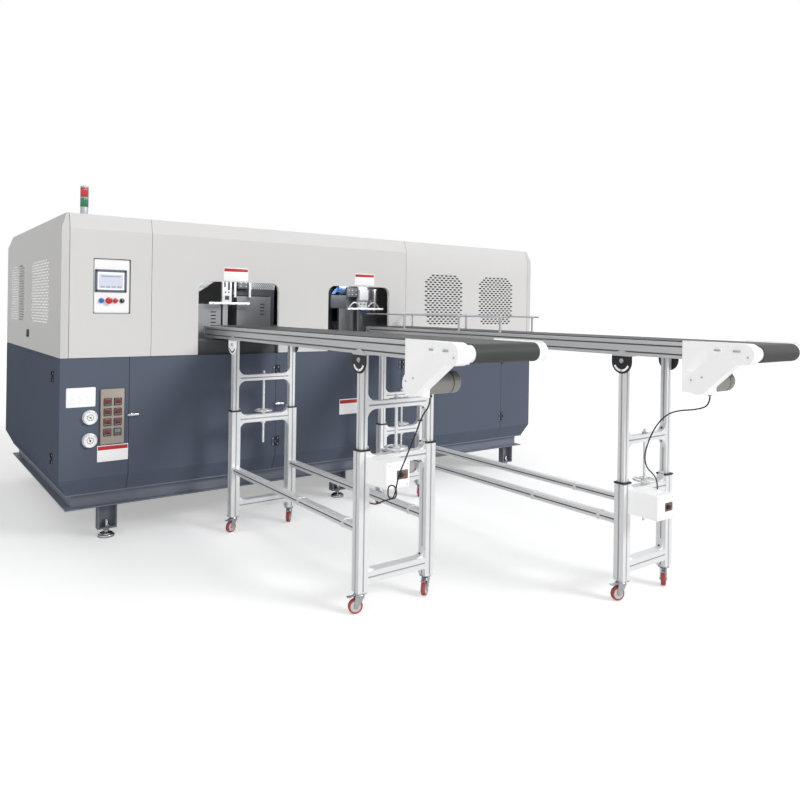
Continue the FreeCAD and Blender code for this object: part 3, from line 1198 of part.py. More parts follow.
def pivot_plate(x, y, side):
    """A bracket under the rail: a flange on the post's top, and an outer plate with a round
    lower end, an arc slot and the bolt that the bed tilts on."""
    top = RAIL_TOP - RAIL_HEIGHT
    radius = PIVOT_PLATE / 2
    centre = top - PIVOT_PLATE_DROP + radius
    face = x + side * RAIL_WIDTH / 2
    outer = face + side * PIVOT_PLATE_THICKNESS
    span = sorted((face, outer))
    plate = block(span, around(y, PIVOT_PLATE), (centre, top))
    flange = block(sorted((x - side * RAIL_WIDTH / 2, outer)), around(y, PIVOT_PLATE),
                   (top - PIVOT_PLATE_THICKNESS, top))
    plate = fuse([plate, flange, rod(radius, (span[0], y, centre), (span[1], y, centre))])
    ends = (span[0] - 1.0, span[1] + 1.0)
    edge, width = PIVOT_SLOT
    outer_ring = tube(radius - edge, radius - edge - width, (ends[0], y, centre), (ends[1], y, centre))
    slot = outer_ring.common(block(ends, around(y, PIVOT_PLATE), (centre - radius, centre - PIVOT_SLOT_DROP)))
    height = centre + PIVOT_BOLT_RISE
    bolt = rod(PIVOT_BOLT_RADIUS, (face, y, height), (outer + side * PIVOT_BOLT_HEAD, y, height))
    return fuse([plate.cut(slot), bolt])


def conveyor_bed(place):
    left, right = post_places(place)
    rail_end = place["rail_end"]
    tail = place["tail_drum"]
    centre_z = RAIL_TOP - RAIL_HEIGHT / 2
    half = RAIL_WIDTH / 2
    height = (RAIL_TOP - RAIL_HEIGHT, RAIL_TOP)
    width, depth = RAIL_GROOVE
    seam = around(rail_end + RAIL_CAP, width)
    rails = []
    for x in (left, right):
        rail = bar_along_y(RAIL_WIDTH, RAIL_HEIGHT, (-RAIL_SLOT_Z, RAIL_SLOT_Z), x,
                           (rail_end, tail + RAIL_PAST_DRUM), centre_z)
        groove = block(around(x, RAIL_WIDTH + 2.0), seam, grown(height, 1.0))
        groove = groove.cut(block(around(x, RAIL_WIDTH - 2 * depth), seam, grown(height, -depth)))
        rails.append(rail.cut(groove))
    inner = (left + half, right - half)
    thickness, under, gap = SLIDER
    top = DRUM_CENTRE_Z + DRUM_RADIUS - under
    slider = (place["drive_drum"] + DRUM_RADIUS + gap, tail - DRUM_RADIUS - gap)
    pieces = rails + [block(inner, slider, (top - thickness, top))]
    for share in BED_CROSS_SHARES:
        y = rail_end + (tail - rail_end) * share
        pieces.append(block(inner, around(y, BED_CROSS[0]), around(DRUM_CENTRE_Z, BED_CROSS[1])))
    for y in (place["rear"], place["near"]):
        pieces.append(pivot_plate(left, y, -1.0))
        pieces.append(pivot_plate(right, y, 1.0))
    for x, posts in zip((left, right), place["guides"]):
        height = RAIL_TOP + GUIDE_POST_HEIGHT
        for y in posts:
            pieces.append(rod(GUIDE_POST_RADIUS, (x, y, RAIL_TOP - 1.0), (x, y, height)))
        rod_z = height - GUIDE_ROD_DROP
        ends = (posts[-1] - GUIDE_ROD_ENDS[0], -GUIDE_ROD_ENDS[1])
        pieces.append(rod(GUIDE_ROD_RADIUS, (x, ends[0], rod_z), (x, ends[1], rod_z)))
    hole = SHAFT_RADIUS + SHAFT_CLEARANCE
    bore = rod(hole, (left - half - 1.0, tail, DRUM_CENTRE_Z), (right + half + 1.0, tail, DRUM_CENTRE_Z))
    return fuse(pieces).cut(bore)


def loop(x, first, second, radius, width):
    """A racetrack round two circles of one radius in the Y-Z plane, carried along X."""
    start = V(x, first[0], first[1])
    end = V(x, second[0], second[1])
    along = (end - start).normalize() * radius
    across = V(0, -along.z, along.y)
    edges = [
        Part.makeLine(start + across, end + across),
        Part.Arc(end + across, end + along, end - across).toShape(),
        Part.makeLine(end - across, start - across),
        Part.Arc(start - across, start - along, start + across).toShape(),
    ]
    return Part.Face(Part.Wire(edges)).extrude(V(width, 0, 0))


def belt_span(place):
    left, right = post_places(place)
    inset = RAIL_WIDTH / 2 + BELT_SIDE_GAP
    return (left + inset, right - inset)


def conveyor_belt(place):
    x = belt_span(place)
    ends = ((place["drive_drum"], DRUM_CENTRE_Z), (place["tail_drum"], DRUM_CENTRE_Z))
    outer = loop(x[0], ends[0], ends[1], DRUM_RADIUS + BELT_THICKNESS, x[1] - x[0])
    return outer.cut(loop(x[0], ends[0], ends[1], DRUM_RADIUS, x[1] - x[0]))


def guard_face(place):
    """X of the outer face of the plate that carries the guard."""
    return place["left"] - RAIL_WIDTH / 2 - SIDE_PLATE


def drive_drum(place):
    """The driven drum with its shaft and the pulley inside the guard."""
    x = belt_span(place)
    y = place["drive_drum"]
    z = DRUM_CENTRE_Z
    right = post_places(place)[1] + RAIL_WIDTH / 2
    pulley = guard_face(place) - PULLEY_GAP
    shell = rod(DRUM_RADIUS - DRUM_GAP, (x[0], y, z), (x[1], y, z))
    shaft = rod(SHAFT_RADIUS, (pulley - PULLEY_WIDTH - PULLEY_BOSS, y, z), (right - FAR_PLATE / 2, y, z))
    wheel = rod(PULLEY_RADIUS, (pulley - PULLEY_WIDTH, y, z), (pulley, y, z))
    return fuse([shell, shaft, wheel])


def tail_drum(place):
    x = belt_span(place)
    y = place["tail_drum"]
    left, right = post_places(place)
    ends = (left - RAIL_WIDTH / 2 + 2.0, right + RAIL_WIDTH / 2 - 2.0)
    shell = rod(DRUM_RADIUS - DRUM_GAP, (x[0], y, DRUM_CENTRE_Z), (x[1], y, DRUM_CENTRE_Z))
    return fuse([shell, rod(SHAFT_RADIUS, (ends[0], y, DRUM_CENTRE_Z), (ends[1], y, DRUM_CENTRE_Z))])


def motor_axis(place):
    return (place["rail_end"] + MOTOR_FROM_RAIL_END, DRUM_CENTRE_Z - MOTOR_DROP)


def guard_outline(place, less, x):
    """The solid of the drive guard's outline between two X values, made smaller by less."""
    drum_y = place["drive_drum"]
    motor_y, motor_z = motor_axis(place)
    head = GUARD_HEAD_RADIUS - less
    arm = GUARD_ARM_RADIUS - less
    nose = rod(head, (x[0], drum_y, DRUM_CENTRE_Z), (x[1], drum_y, DRUM_CENTRE_Z))
    top = block(x, (drum_y, drum_y + GUARD_HEAD_LENGTH - less), around(DRUM_CENTRE_Z, 2 * head))
    low = rod(arm, (x[0], motor_y, motor_z), (x[1], motor_y, motor_z))
    upper = V(x[0], drum_y + GUARD_ARM_START, DRUM_CENTRE_Z - less)
    lower = V(x[0], motor_y, motor_z)
    along = (upper - lower).normalize()
    across = V(0, -along.z, along.y) * arm
    corners = [lower + across, upper + across, upper - across, lower - across]
    band = prism([tuple(corner) for corner in corners], (x[1] - x[0], 0, 0))
    return fuse([nose, top, low, band])


def nose_housing(place, x, inner_x, reach):
    """A side plate that reaches along the rail, with the bearing housing in front of it."""
    drum_y = place["drive_drum"]
    rail_end = place["rail_end"]
    height = around(DRUM_CENTRE_Z, 2 * GUARD_HEAD_RADIUS)
    wide = sorted((x[0], x[1], inner_x))
    wide = (wide[0], wide[2])
    plate = block(x, (drum_y, rail_end + reach), height)
    housing = block(wide, (drum_y, rail_end), (height[0] + NOSE_STEP, RAIL_TOP))
    nose = rod(GUARD_HEAD_RADIUS, (x[0], drum_y, DRUM_CENTRE_Z), (x[1], drum_y, DRUM_CENTRE_Z))
    inner_nose = rod(RAIL_TOP - DRUM_CENTRE_Z, (wide[0], drum_y, DRUM_CENTRE_Z), (wide[1], drum_y, DRUM_CENTRE_Z))
    bore = rod(SHAFT_RADIUS + SHAFT_CLEARANCE, (wide[0] - 1.0, drum_y, DRUM_CENTRE_Z),
               (wide[1] + 1.0, drum_y, DRUM_CENTRE_Z))
    return fuse([plate, housing, nose, inner_nose]).cut(bore)


def drive_guard(place):
    """The guard over the belt drive, the drive belt in it, and the housings of the nose."""
    left, right = post_places(place)
    half = RAIL_WIDTH / 2
    face = guard_face(place)
    motor_y, motor_z = motor_axis(place)
    cover = guard_outline(place, 0.0, (face - GUARD_THICKNESS, face))
    cover = cover.cut(guard_outline(place, GUARD_WALL, (face - GUARD_THICKNESS + GUARD_WALL, face)))
    latches = []
    for y, z in ((place["drive_drum"] + UPPER_LATCH[0], DRUM_CENTRE_Z + UPPER_LATCH[1]),
                 (motor_y + LOWER_LATCH[0], motor_z + LOWER_LATCH[1])):
        outward = (face - GUARD_THICKNESS - LATCH_SIZE[0], face - GUARD_THICKNESS)
        if y > place["rail_end"]:
            outward = (face - LOWER_LATCH_DEPTH, face)
        latches.append(block(outward, around(y, LATCH_SIZE[1]), around(z, LATCH_SIZE[2])))
    before, behind, below = MOTOR_BRACKET
    bracket = block((face, face + SIDE_PLATE), (motor_y - before, motor_y + behind),
                    (motor_z - below, DRUM_CENTRE_Z + GUARD_HEAD_RADIUS))
    near_nose = nose_housing(place, (face, face + SIDE_PLATE), left + half, NOSE_REACH)
    motor_hole = rod(SHAFT_RADIUS + MOTOR_HOLE, (face - 1.0, motor_y, motor_z),
                     (face + SIDE_PLATE + 1.0, motor_y, motor_z))
    near_side = fuse([cover, bracket, near_nose] + latches).cut(motor_hole)
    far_nose = nose_housing(place, (right + half - FAR_PLATE, right + half), right - half, 0.0)
    belt_x = face - PULLEY_GAP - PULLEY_WIDTH + PULLEY_FLANGE
    ends = ((place["drive_drum"], DRUM_CENTRE_Z), (motor_y, motor_z))
    width = PULLEY_WIDTH - 2 * PULLEY_FLANGE
    inside = PULLEY_RADIUS + DRUM_GAP
    drive = loop(belt_x, ends[0], ends[1], inside + DRIVE_BELT, width)
    drive = drive.cut(loop(belt_x, ends[0], ends[1], inside, width))
    return Part.makeCompound([near_side, far_nose, drive])


def gearmotor(place):
    """The drum motor's housing, its shaft with the lower pulley, and the cable gland."""
    y, z = motor_axis(place)
    face = guard_face(place)
    start = face + SIDE_PLATE
    end = start + MOTOR_LENGTH
    body = rod(MOTOR_RADIUS, (start, y, z), (end, y, z))
    body = body.makeFillet(MOTOR_ROUNDING, [edge for edge in body.Edges if edge.BoundBox.XMin > end - 1.0])
    from_end, width, depth = MOTOR_RING
    ring_x = end - from_end
    body = body.cut(tube(MOTOR_RADIUS + 1.0, MOTOR_RADIUS - depth, (ring_x, y, z), (ring_x + width, y, z)))
    pulley = face - PULLEY_GAP
    shaft = rod(SHAFT_RADIUS, (pulley - PULLEY_WIDTH - PULLEY_BOSS, y, z), (start + 5.0, y, z))
    wheel = rod(PULLEY_RADIUS, (pulley - PULLEY_WIDTH, y, z), (pulley, y, z))
    gland_x = place["left"] + MOTOR_GLAND[0]
    bottom = z - MOTOR_RADIUS
    gland = rod(MOTOR_GLAND[1], (gland_x, y, bottom - MOTOR_GLAND[2]), (gland_x, y, bottom + 8.0))
    return fuse([body, shaft, wheel, gland])


def handwheel(place, y):
    """A rim on three spokes, whose hub is the nut that raises the lifting rod."""
    x = sum(post_places(place)) / 2
    base = place["collar"] - LOWER_BAR_DROP + LOWER_BAR / 2 + HUB_CLEARANCE
    rim_z = base + HANDWHEEL_HEIGHT / 2 + HANDWHEEL_RIM_RISE
    rim = Part.makeTorus(HANDWHEEL_RADIUS, HANDWHEEL_RIM, V(x, y, rim_z))
    hub = rod(HANDWHEEL_HUB, (x, y, base), (x, y, base + HANDWHEEL_HEIGHT))
    spokes = []
    for turn in range(3):
        angle = math.radians(90 + 120 * turn)
        tip = (x + HANDWHEEL_RADIUS * math.cos(angle), y + HANDWHEEL_RADIUS * math.sin(angle), rim_z)
        spokes.append(rod(HANDWHEEL_SPOKE, (x, y, rim_z), tip))
    bore = rod(ROD_RADIUS + ROD_CLEARANCE, (x, y, base - 1.0), (x, y, base + HANDWHEEL_HEIGHT + 1.0))
    return fuse([rim, hub] + spokes).cut(bore)


def control_box(place, gland_at):
    """The box on the near frame, with its switch plate and, if it has one, a cable gland."""
    start = place["left"] + BOX_FROM_LEFT
    x = (start, start + BOX_SIZE[0])
    back = place["near"] - LOWER_POST / 2
    front = back - BOX_SIZE[1]
    top = place["collar"] - BOX_DROP
    z = (top - BOX_SIZE[2], top)
    box = block(x, (front, back), z)
    box = box.makeFillet(BOX_ROUNDING, [edge for edge in box.Edges if edge.BoundBox.YMax < front + 1.0])
    height = sum(z) / 2
    wide, tall, thick = SWITCH_PLATE
    plate = block(around(x[1] - SWITCH_PLATE_INSET, wide), (front - thick, front), around(height, tall))
    radius, length, inset = SWITCH_KNOB
    knob_x = x[1] - inset
    knob = rod(radius, (knob_x, front - thick - length, height), (knob_x, front - thick, height))
    pieces = [box, plate, knob]
    if gland_at:
        pieces.append(rod(MOTOR_GLAND[1], (gland_at.x, gland_at.y, top), tuple(gland_at)))
    return fuse(pieces)


def caster(x, y, heading):
    """A braked caster under a post; heading is the way its fork trails, in degrees."""
    top = LOWER_BOTTOM
    size, thickness = CASTER_PLATE
    plate = block(around(x, size), around(y, size), (top - thickness, top))
    race_end = top - thickness - CASTER_RACE[1]
    race = rod(CASTER_RACE[0], (x, y, race_end), (x, y, top - thickness))
    angle = math.radians(heading)
    axis = V(math.cos(angle), math.sin(angle), 0)
    side = V(-axis.y, axis.x, 0)
    centre = V(x, y, WHEEL_RADIUS) + axis * CASTER_TRAIL
    wheel_half = WHEEL_WIDTH / 2
    wheel = Part.makeCylinder(WHEEL_RADIUS, WHEEL_WIDTH, centre - side * wheel_half, side)
    pieces = [plate, race, wheel]
    base = V(x, y, race_end)
    tip = centre - V(0, 0, CHEEK_DROP)
    corners = [base - axis * CHEEK_TOP[0], base + axis * CHEEK_TOP[1], tip + axis * CHEEK_TIP[1],
               tip - axis * CHEEK_TIP[0]]
    for sign in (-1.0, 1.0):
        inner = side * (sign * (wheel_half + CHEEK[0]))
        pieces.append(prism([tuple(corner + inner) for corner in corners], tuple(side * (sign * CHEEK[1]))))
    bridge_half = wheel_half + sum(CHEEK)
    bridge = Part.makeBox(sum(CHEEK_TOP), 2 * bridge_half, thickness, V(-CHEEK_TOP[0], -bridge_half, 0))
    bridge.rotate(V(0, 0, 0), V(0, 0, 1), heading)
    bridge.translate(base)
    pieces.append(bridge)
    radius, past = CASTER_AXLE
    axle_half = bridge_half + past
    axle = Part.makeCylinder(radius, 2 * axle_half, centre - side * axle_half, side)
    length, thick, slope = PEDAL
    pedal = Part.makeBox(length, 2 * wheel_half, thick, V(CHEEK_TOP[0], -wheel_half, 0))
    pedal.rotate(V(0, 0, 0), V(0, 1, 0), slope)
    pedal.rotate(V(0, 0, 0), V(0, 0, 1), heading)
    pedal.translate(V(x, y, top - PEDAL_DROP))
    return fuse(pieces + [axle, pedal])


def casters():
    whole = []
    for place in CONVEYORS.values():
        corners = [(x, y) for y in (place["rear"], place["near"]) for x in post_places(place)]
        for (x, y), heading in zip(corners, CASTER_HEADINGS):
            whole.append(caster(x, y, heading))
    return Part.makeCompound(whole)


# ---- cables ----------------------------------------------------------------------------
def gland_end(place):
    """The lower end of the gland under the motor."""
    y, z = motor_axis(place)
    return V(place["left"] + MOTOR_GLAND[0], y, z - MOTOR_RADIUS - MOTOR_GLAND[2])


def clip_entry(place):
    """The middle of the side on which a cable enters the clip."""
    return V(place["left"] + LOWER_POST / 2 + CLIP_SIZE[0] / 2, place["near"] - CLIP_SETBACK, CLIP_Z)


def box_entry(place, rise, inset):
    """The upper end of the gland on a control box, a given height above it."""
    x = place["left"] + BOX_FROM_LEFT + inset[0]
    y = place["near"] - LOWER_POST / 2 - inset[1]
    return V(x, y, place["collar"] - BOX_DROP + rise)


def settled(route, start, end):
    """A drawn route moved to run between two points: the points between move in step."""
    first = V(*start) - V(*route[0])
    last = V(*end) - V(*route[-1])
    steps = len(route) - 1
    return [V(*point) + first * (1 - step / steps) + last * (step / steps) for step, point in enumerate(route)]


def cable(name, route):
    """A round cable along straight runs joined by tangent arcs at the route's points."""
    points = list(route)
    radii = []
    edges = []
    start = points[0]
    for before, corner, after in zip(points, points[1:], points[2:]):
        into = (corner - before).normalize()
        out = (after - corner).normalize()
        turn = into.getAngle(out)
        reach = 0.45 * min((corner - before).Length, (after - corner).Length)
        radii.append(reach / math.tan(turn / 2))
        first = corner - into * reach
        last = corner + out * reach
        bisector = (out - into).normalize()
        sag = radii[-1] * (1 / math.cos(turn / 2) - 1)
        edges.append(Part.makeLine(start, first))
        edges.append(Part.Arc(first, corner + bisector * sag, last).toShape())
        start = last
    edges.append(Part.makeLine(start, points[-1]))
    path = Part.Wire(edges)
    direction = (points[1] - points[0]).normalize()
    section = Part.Wire([Part.makeCircle(CABLE_RADIUS, points[0], direction)])
    solid = path.makePipeShell([section], True, False)
    area = math.pi * CABLE_RADIUS ** 2
    print("%s: length %.0f, tightest arc %.0f, volume over section times length %.4f"
          % (name, path.Length, min(radii), solid.Volume / (area * path.Length)))
    return solid


# ---- the whole machine -----------------------------------------------------------------
def origin():
    """The middle of the footprint: from the left hinges to the right end, and from the
    nose of the longer conveyor to the rear covers."""
    left_edge = -(HINGE_AXIS_OUT + HINGE_KNUCKLE_RADIUS)
    nose = min(place["drive_drum"] for place in CONVEYORS.values()) - GUARD_HEAD_RADIUS
    return V((left_edge + MACHINE_LENGTH) / 2, (nose + MACHINE_DEPTH) / 2, 0)


def conveyor_parts(name, place, route):
    return {
        name + "_stand": conveyor_stand(place),
        name + "_uprights": conveyor_uprights(place),
        name + "_bed": conveyor_bed(place),
        name + "_belt": conveyor_belt(place),
        name + "_drive_drum": drive_drum(place),
        name + "_tail_drum": tail_drum(place),
        name + "_drive_guard": drive_guard(place),
        name + "_gearmotor": gearmotor(place),
        name + "_near_handwheel": handwheel(place, place["near"]),
        name + "_rear_handwheel": handwheel(place, place["rear"]),
        name + "_cable": cable(name + "_cable", route),
    }


def main():
    first, second = CONVEYORS.values()
    gland = box_entry(second, BOX_GLAND[0], BOX_GLAND[1:])
    first_route = settled(FIRST_CABLE_ROUTE, gland_end(first), clip_entry(first))
    second_route = settled(SECOND_CABLE_ROUTE, gland_end(second), gland)
    parts = {}
    parts.update(upper_covers())
    parts.update(lower_casing())
    parts.update(door_handles())
    parts["base_frame"] = base_frame()
    parts["levelling_feet"] = levelling_feet()
    parts["inner_frame"] = inner_frame()
    parts["hmi_panel"] = hmi_panel()
    parts.update(buttons())
    parts["temperature_panel"] = temperature_panel()
    parts["pressure_gauges"] = pressure_gauges()
    parts["signal_tower"] = signal_tower()
    parts["preform_oven"] = preform_oven()
    parts["clamp_frame"] = clamp_frame()
    parts.update(mould_halves())
    parts["transfer_beam"] = transfer_beam()
    parts["stretch_unit"] = stretch_unit()
    parts["valve_unit"] = Part.makeCompound([valve_unit(), carriage_rail()])
    parts["casters"] = casters()
    parts["control_boxes"] = Part.makeCompound([
        control_box(first, None),
        control_box(second, gland),
    ])
    parts.update(conveyor_parts("first", first, first_route))
    parts.update(conveyor_parts("second", second, second_route))
    parts["first_stand"] = fuse([parts["first_stand"], cable_clip(first)])

    os.makedirs("parts", exist_ok=True)
    middle = origin()
    for name, shape in parts.items():
        shape.translate(-middle)
        shape.exportStep("parts/%s.step" % name)


if __name__ == "__main__":
    main()
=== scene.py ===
import json
import math

import bmesh
import bpy
import numpy as np
from mathutils import Matrix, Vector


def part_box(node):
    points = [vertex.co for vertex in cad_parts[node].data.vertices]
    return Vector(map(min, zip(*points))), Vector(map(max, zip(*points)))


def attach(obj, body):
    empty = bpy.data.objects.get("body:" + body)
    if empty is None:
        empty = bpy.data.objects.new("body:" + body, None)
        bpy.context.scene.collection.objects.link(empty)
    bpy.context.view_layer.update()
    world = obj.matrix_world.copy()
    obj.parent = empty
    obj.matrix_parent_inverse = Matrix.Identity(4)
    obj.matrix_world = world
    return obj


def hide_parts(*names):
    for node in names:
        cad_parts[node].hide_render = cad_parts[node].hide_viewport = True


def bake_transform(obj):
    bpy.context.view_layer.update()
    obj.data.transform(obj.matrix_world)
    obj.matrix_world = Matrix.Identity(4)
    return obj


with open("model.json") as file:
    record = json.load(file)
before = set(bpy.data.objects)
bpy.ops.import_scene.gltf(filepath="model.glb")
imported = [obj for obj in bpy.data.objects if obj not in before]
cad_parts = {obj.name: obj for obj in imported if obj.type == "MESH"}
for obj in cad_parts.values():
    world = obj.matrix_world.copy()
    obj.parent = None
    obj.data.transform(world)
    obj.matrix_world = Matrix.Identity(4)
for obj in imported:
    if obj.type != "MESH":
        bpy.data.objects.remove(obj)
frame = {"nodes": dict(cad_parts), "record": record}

bl_info = {
    "name": "Blow moulding machine",
    "version": (1, 0, 0),
    "blender": (4, 5, 0),
    "location": "View3D > Sidebar > Moulder",
    "description": "Dresses a blow moulding machine and its two outfeed conveyors",
    "category": "Object",
}

# Points are written in millimetres from the machine's front left corner at floor level:
# X along the front, Y towards the rear, Z up. metres() turns them into metres of the frame.
X, Y, Z = np.eye(3)
ORIGIN = (0, 0, 0)
BASE_INSET = 51.0       # from the casing's corner in to the base frame's
CORNER = np.array(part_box("base_frame")[0]) * (1, 1, 0) - (BASE_INSET / 1000, BASE_INSET / 1000, 0)

# Each conveyor: X of its left and right posts, Y of its rear and near frames, of the near end of
# its rails and of its drive drum, and the height of its collars.
CONVEYORS = {
    "first": {"posts": (1042.0, 1466.0), "frames": (-260.0, -1820.0), "rail_end": -2298.0,
              "drum": -2588.0, "collar": 820.0},
    "second": {"posts": (2270.0, 2654.0), "frames": (-250.0, -2472.0), "rail_end": -2915.0,
               "drum": -3155.0, "collar": 625.0},
}
RAIL_TOP, RAIL_TALL = 1378.0, 80.0
UPPER_HALF, LOWER_HALF = 20.0, 30.0     # half the width of the upper and the lower posts
POST_TOP = 108.0                        # top of the casters
TIE_Z, LOW_BAR_Z = 420.0, 178.0
UPPER_BAR, LOWER_BAR = 218.0, -62.0     # crossbars, from the collars
UPPER_BAR_HALF, LOWER_BAR_HALF, LOW_BAR_HALF = 20.0, 25.0, 30.0
PIVOT_Z = 1261.0
MOTOR_Z, LATCH_Z = 1195.0, 1356.0

# Control points of the two motor cables, from the motor's gland to the clip or box.
CABLE_ROUTES = {
    "first": (
        (1072, -2318, 1128), (1072, -2318, 1094), (1066, -2272, 1046), (1058, -2243, 969),
        (1054, -2206, 899), (1053, -2156, 810), (1051, -2118, 744), (1047, -2092, 629),
        (1049, -2038, 624), (1052, -2036, 684), (1056, -2093, 691), (1061, -2095, 633),
        (1070, -2011, 607), (1080, -1932, 572), (1084, -1876, 548), (1084, -1838, 548),
    ),
    "second": (
        (2300, -2935, 1128), (2300, -2935, 1082), (2306, -2862, 1052), (2318, -2762, 1036),
        (2326, -2690, 1006), (2318, -2636, 945), (2290, -2610, 862), (2266, -2602, 782),
        (2288, -2604, 720), (2334, -2612, 686), (2360, -2620, 646), (2360, -2620, 603),
    ),
}


def srgb(red, green, blue):
    """A colour as a screen shows it, from 0 to 255, as the linear values of a shader."""
    values = np.array((red, green, blue)) / 255
    return tuple(np.where(values > 0.04045, ((values + 0.055) / 1.055) ** 2.4, values / 12.92))


# ---- sizes and colours -------------------------------------------------------------------------
def colour_property(label, description, value):
    """A colour that a user can change."""
    return bpy.props.FloatVectorProperty(name=label, description=description, subtype="COLOR", size=3,
                                         min=0.0, max=1.0, default=value)


def length_property(label, description, value):
    """A length in metres that a user can change."""
    return bpy.props.FloatProperty(name=label, description=description, unit="LENGTH", min=0.0, default=value)


class MoulderColours(bpy.types.PropertyGroup):
    """Colours of the machine's painted and plastic surfaces"""
    light_cover: colour_property("Light covers", "Upper covers of the casing", srgb(228, 227, 226))
    dark_cover: colour_property("Dark covers", "Lower doors and casing", srgb(100, 108, 123))
    base_paint: colour_property("Base", "Welded base frame and its feet", srgb(124, 132, 147))
    guard_white: colour_property("Guards", "Drive guards and control boxes", srgb(248, 248, 248))
    belt: colour_property("Belt", "Conveyor belts", srgb(74, 76, 76))
    tread: colour_property("Tread", "Treads of the casters", srgb(176, 46, 44))
    screen: colour_property("Screen", "Field of the operator's screen", srgb(208, 213, 226))
    red_lens: colour_property("Red lens", "Upper lens of the signal tower", srgb(190, 26, 32))
    green_lens: colour_property("Green lens", "Lower lens of the signal tower", srgb(4, 116, 76))
    notice_band: colour_property("Notice band", "Head of the notice fields", srgb(206, 52, 50))


class MoulderSizes(bpy.types.PropertyGroup):
    """Sizes of the fine details"""
    slot_length: length_property("Slot length", "Length of one vent slot", 0.031)
    slot_height: length_property("Slot height", "Height of one vent slot", 0.0115)
    slot_pitch: length_property("Slot pitch", "Distance between slots in a row", 0.050)
    row_pitch: length_property("Row pitch", "Distance between two rows of slots", 0.020)
    cable_radius: length_property("Cable radius", "Radius of the motor cables", 0.0035)
    screw_radius: length_property("Screw radius", "Radius of a hinge screw's head", 0.0046)


# ---- shapes: arrays of points and lists of faces -----------------------------------------------
def metres(points):
    """Points in millimetres from the machine's corner, as metres in the frame."""
    return np.asarray(points, float) / 1000 + CORNER


def box(node):
    """Lowest and highest corner of a node, in millimetres from the machine's corner."""
    return [(np.array(corner) - CORNER) * 1000 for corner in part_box(node)]


def grid_faces(rows, columns, closed_rows=False, closed_columns=True):
    """Quads between neighbours of a grid whose point has the number row * columns + column."""
    down = np.arange(rows if closed_rows else rows - 1)[:, None]
    along = np.arange(columns if closed_columns else columns - 1)[None, :]
    below, beside = (down + 1) % rows, (along + 1) % columns
    corners = np.broadcast_arrays(down * columns + along, down * columns + beside,
                                  below * columns + beside, below * columns + along)
    return np.stack(corners, axis=-1).reshape(-1, 4).tolist()


def skinned(rings, closed=False):
    """Walls between rings, an array of (rings, points, 3), with both ends filled unless closed."""
    count, around = rings.shape[:2]
    faces = grid_faces(count, around, closed)
    if not closed:
        faces += [list(range(around)), list(range((count - 1) * around, count * around))]
    return rings.reshape(-1, 3), faces


def turned(profile, start, axis, sides=32, closed=False, ribs=0, rib_depth=0.0):
    """Surface of revolution: the point at angle a of a profile's (distance, radius) is
    start + distance * axis + radius * (cos a * across + sin a * up), and the radius swells
    by rib_depth * cos(ribs * a)."""
    axis = np.asarray(axis, float) / np.linalg.norm(axis)
    across = np.cross(axis, Z if abs(axis[2]) < 0.9 else Y)
    across /= np.linalg.norm(across)
    angle = np.arange(sides) * 2 * np.pi / sides
    ring = np.cos(angle)[:, None] * across + np.sin(angle)[:, None] * np.cross(axis, across)
    distance, radius = np.asarray(profile, float).T
    radius = radius[:, None] + rib_depth * np.cos(ribs * angle)
    rings = np.asarray(start, float) + distance[:, None, None] * axis + radius[..., None] * ring
    return skinned(rings, closed)


def domed(radius, height, rounding=0.35, steps=4):
    """Profile of a disc whose rim is a quarter circle: (height - r + r sin t, radius - r + r cos t)."""
    r = height * rounding
    t = np.linspace(0, np.pi / 2, steps)
    rim = np.stack((height - r + r * np.sin(t), radius - r + r * np.cos(t)), axis=-1)
    return np.vstack(((0.0, radius), rim))


def rounded(x, z, width, height, radius, steps=4):
    """Outline of four quarter circles: corner centre + radius * (cos t, sin t)."""
    t = (np.arange(4)[:, None] * np.pi / 2 + np.linspace(0, np.pi / 2, steps)).ravel()
    sign_x, sign_z = np.repeat((1, -1, -1, 1), steps), np.repeat((1, 1, -1, -1), steps)
    return np.stack((x + sign_x * (width / 2 - radius) + radius * np.cos(t),
                     z + sign_z * (height / 2 - radius) + radius * np.sin(t)), axis=-1)


def inset_outline(outline, amount):
    """Outline moved inwards: each point slides by amount * (n1 + n2) / (1 + n1.n2), where n1
    and n2 are the inward normals of its two edges."""
    edge = np.roll(outline, -1, axis=0) - outline
    edge = edge / np.linalg.norm(edge, axis=1, keepdims=True)
    after = np.stack((-edge[:, 1], edge[:, 0]), axis=-1)
    before = np.roll(after, 1, axis=0)
    share = 1 + np.sum(before * after, axis=1, keepdims=True)
    return outline + amount * (before + after) / share


def slab(outline, levels, origin, across, up, closed=False):
    """A flat outline carried outwards: at each level (inset, height) the point (u, v) of the inset
    outline is origin + u * across + v * up + height * (across x up)."""
    out = np.cross(across, up)
    outline = np.asarray(outline, float)
    rings = [np.asarray(origin, float) + shape[:, :1] * across + shape[:, 1:] * up + height * out
             for shape, height in ((inset_outline(outline, inset), height) for inset, height in levels)]
    return skinned(np.array(rings), closed)


def flat(thickness):
    """Levels of a slab with square edges."""
    return [(0, 0), (0, thickness)]


def soft(thickness, rounding, steps=3):
    """Levels of a slab whose front edge is a quarter circle of radius rounding."""
    t = np.linspace(0, np.pi / 2, steps)
    rim = [(rounding * (1 - math.cos(a)), thickness - rounding + rounding * math.sin(a)) for a in t]
    return [(0.0, 0.0)] + rim


def front_slab(x, z, width, height, radius, y, levels):
    """A rounded rectangle on a face that looks towards the front."""
    return slab(rounded(x, z, width, height, radius), levels, (0, y, 0), X, Z)


def brick(low, high, rounding=1.5):
    """A block between two corners whose outline and top edges are rounded."""
    low, high = np.asarray(low, float), np.asarray(high, float)
    (x, y, _), size = (low + high) / 2, high - low
    levels = [(rounding, 0), (0, rounding)] + soft(size[2], rounding)[1:]
    return slab(rounded(x, y, size[0], size[1], rounding, 3), levels, (0, 0, low[2]), X, Y)


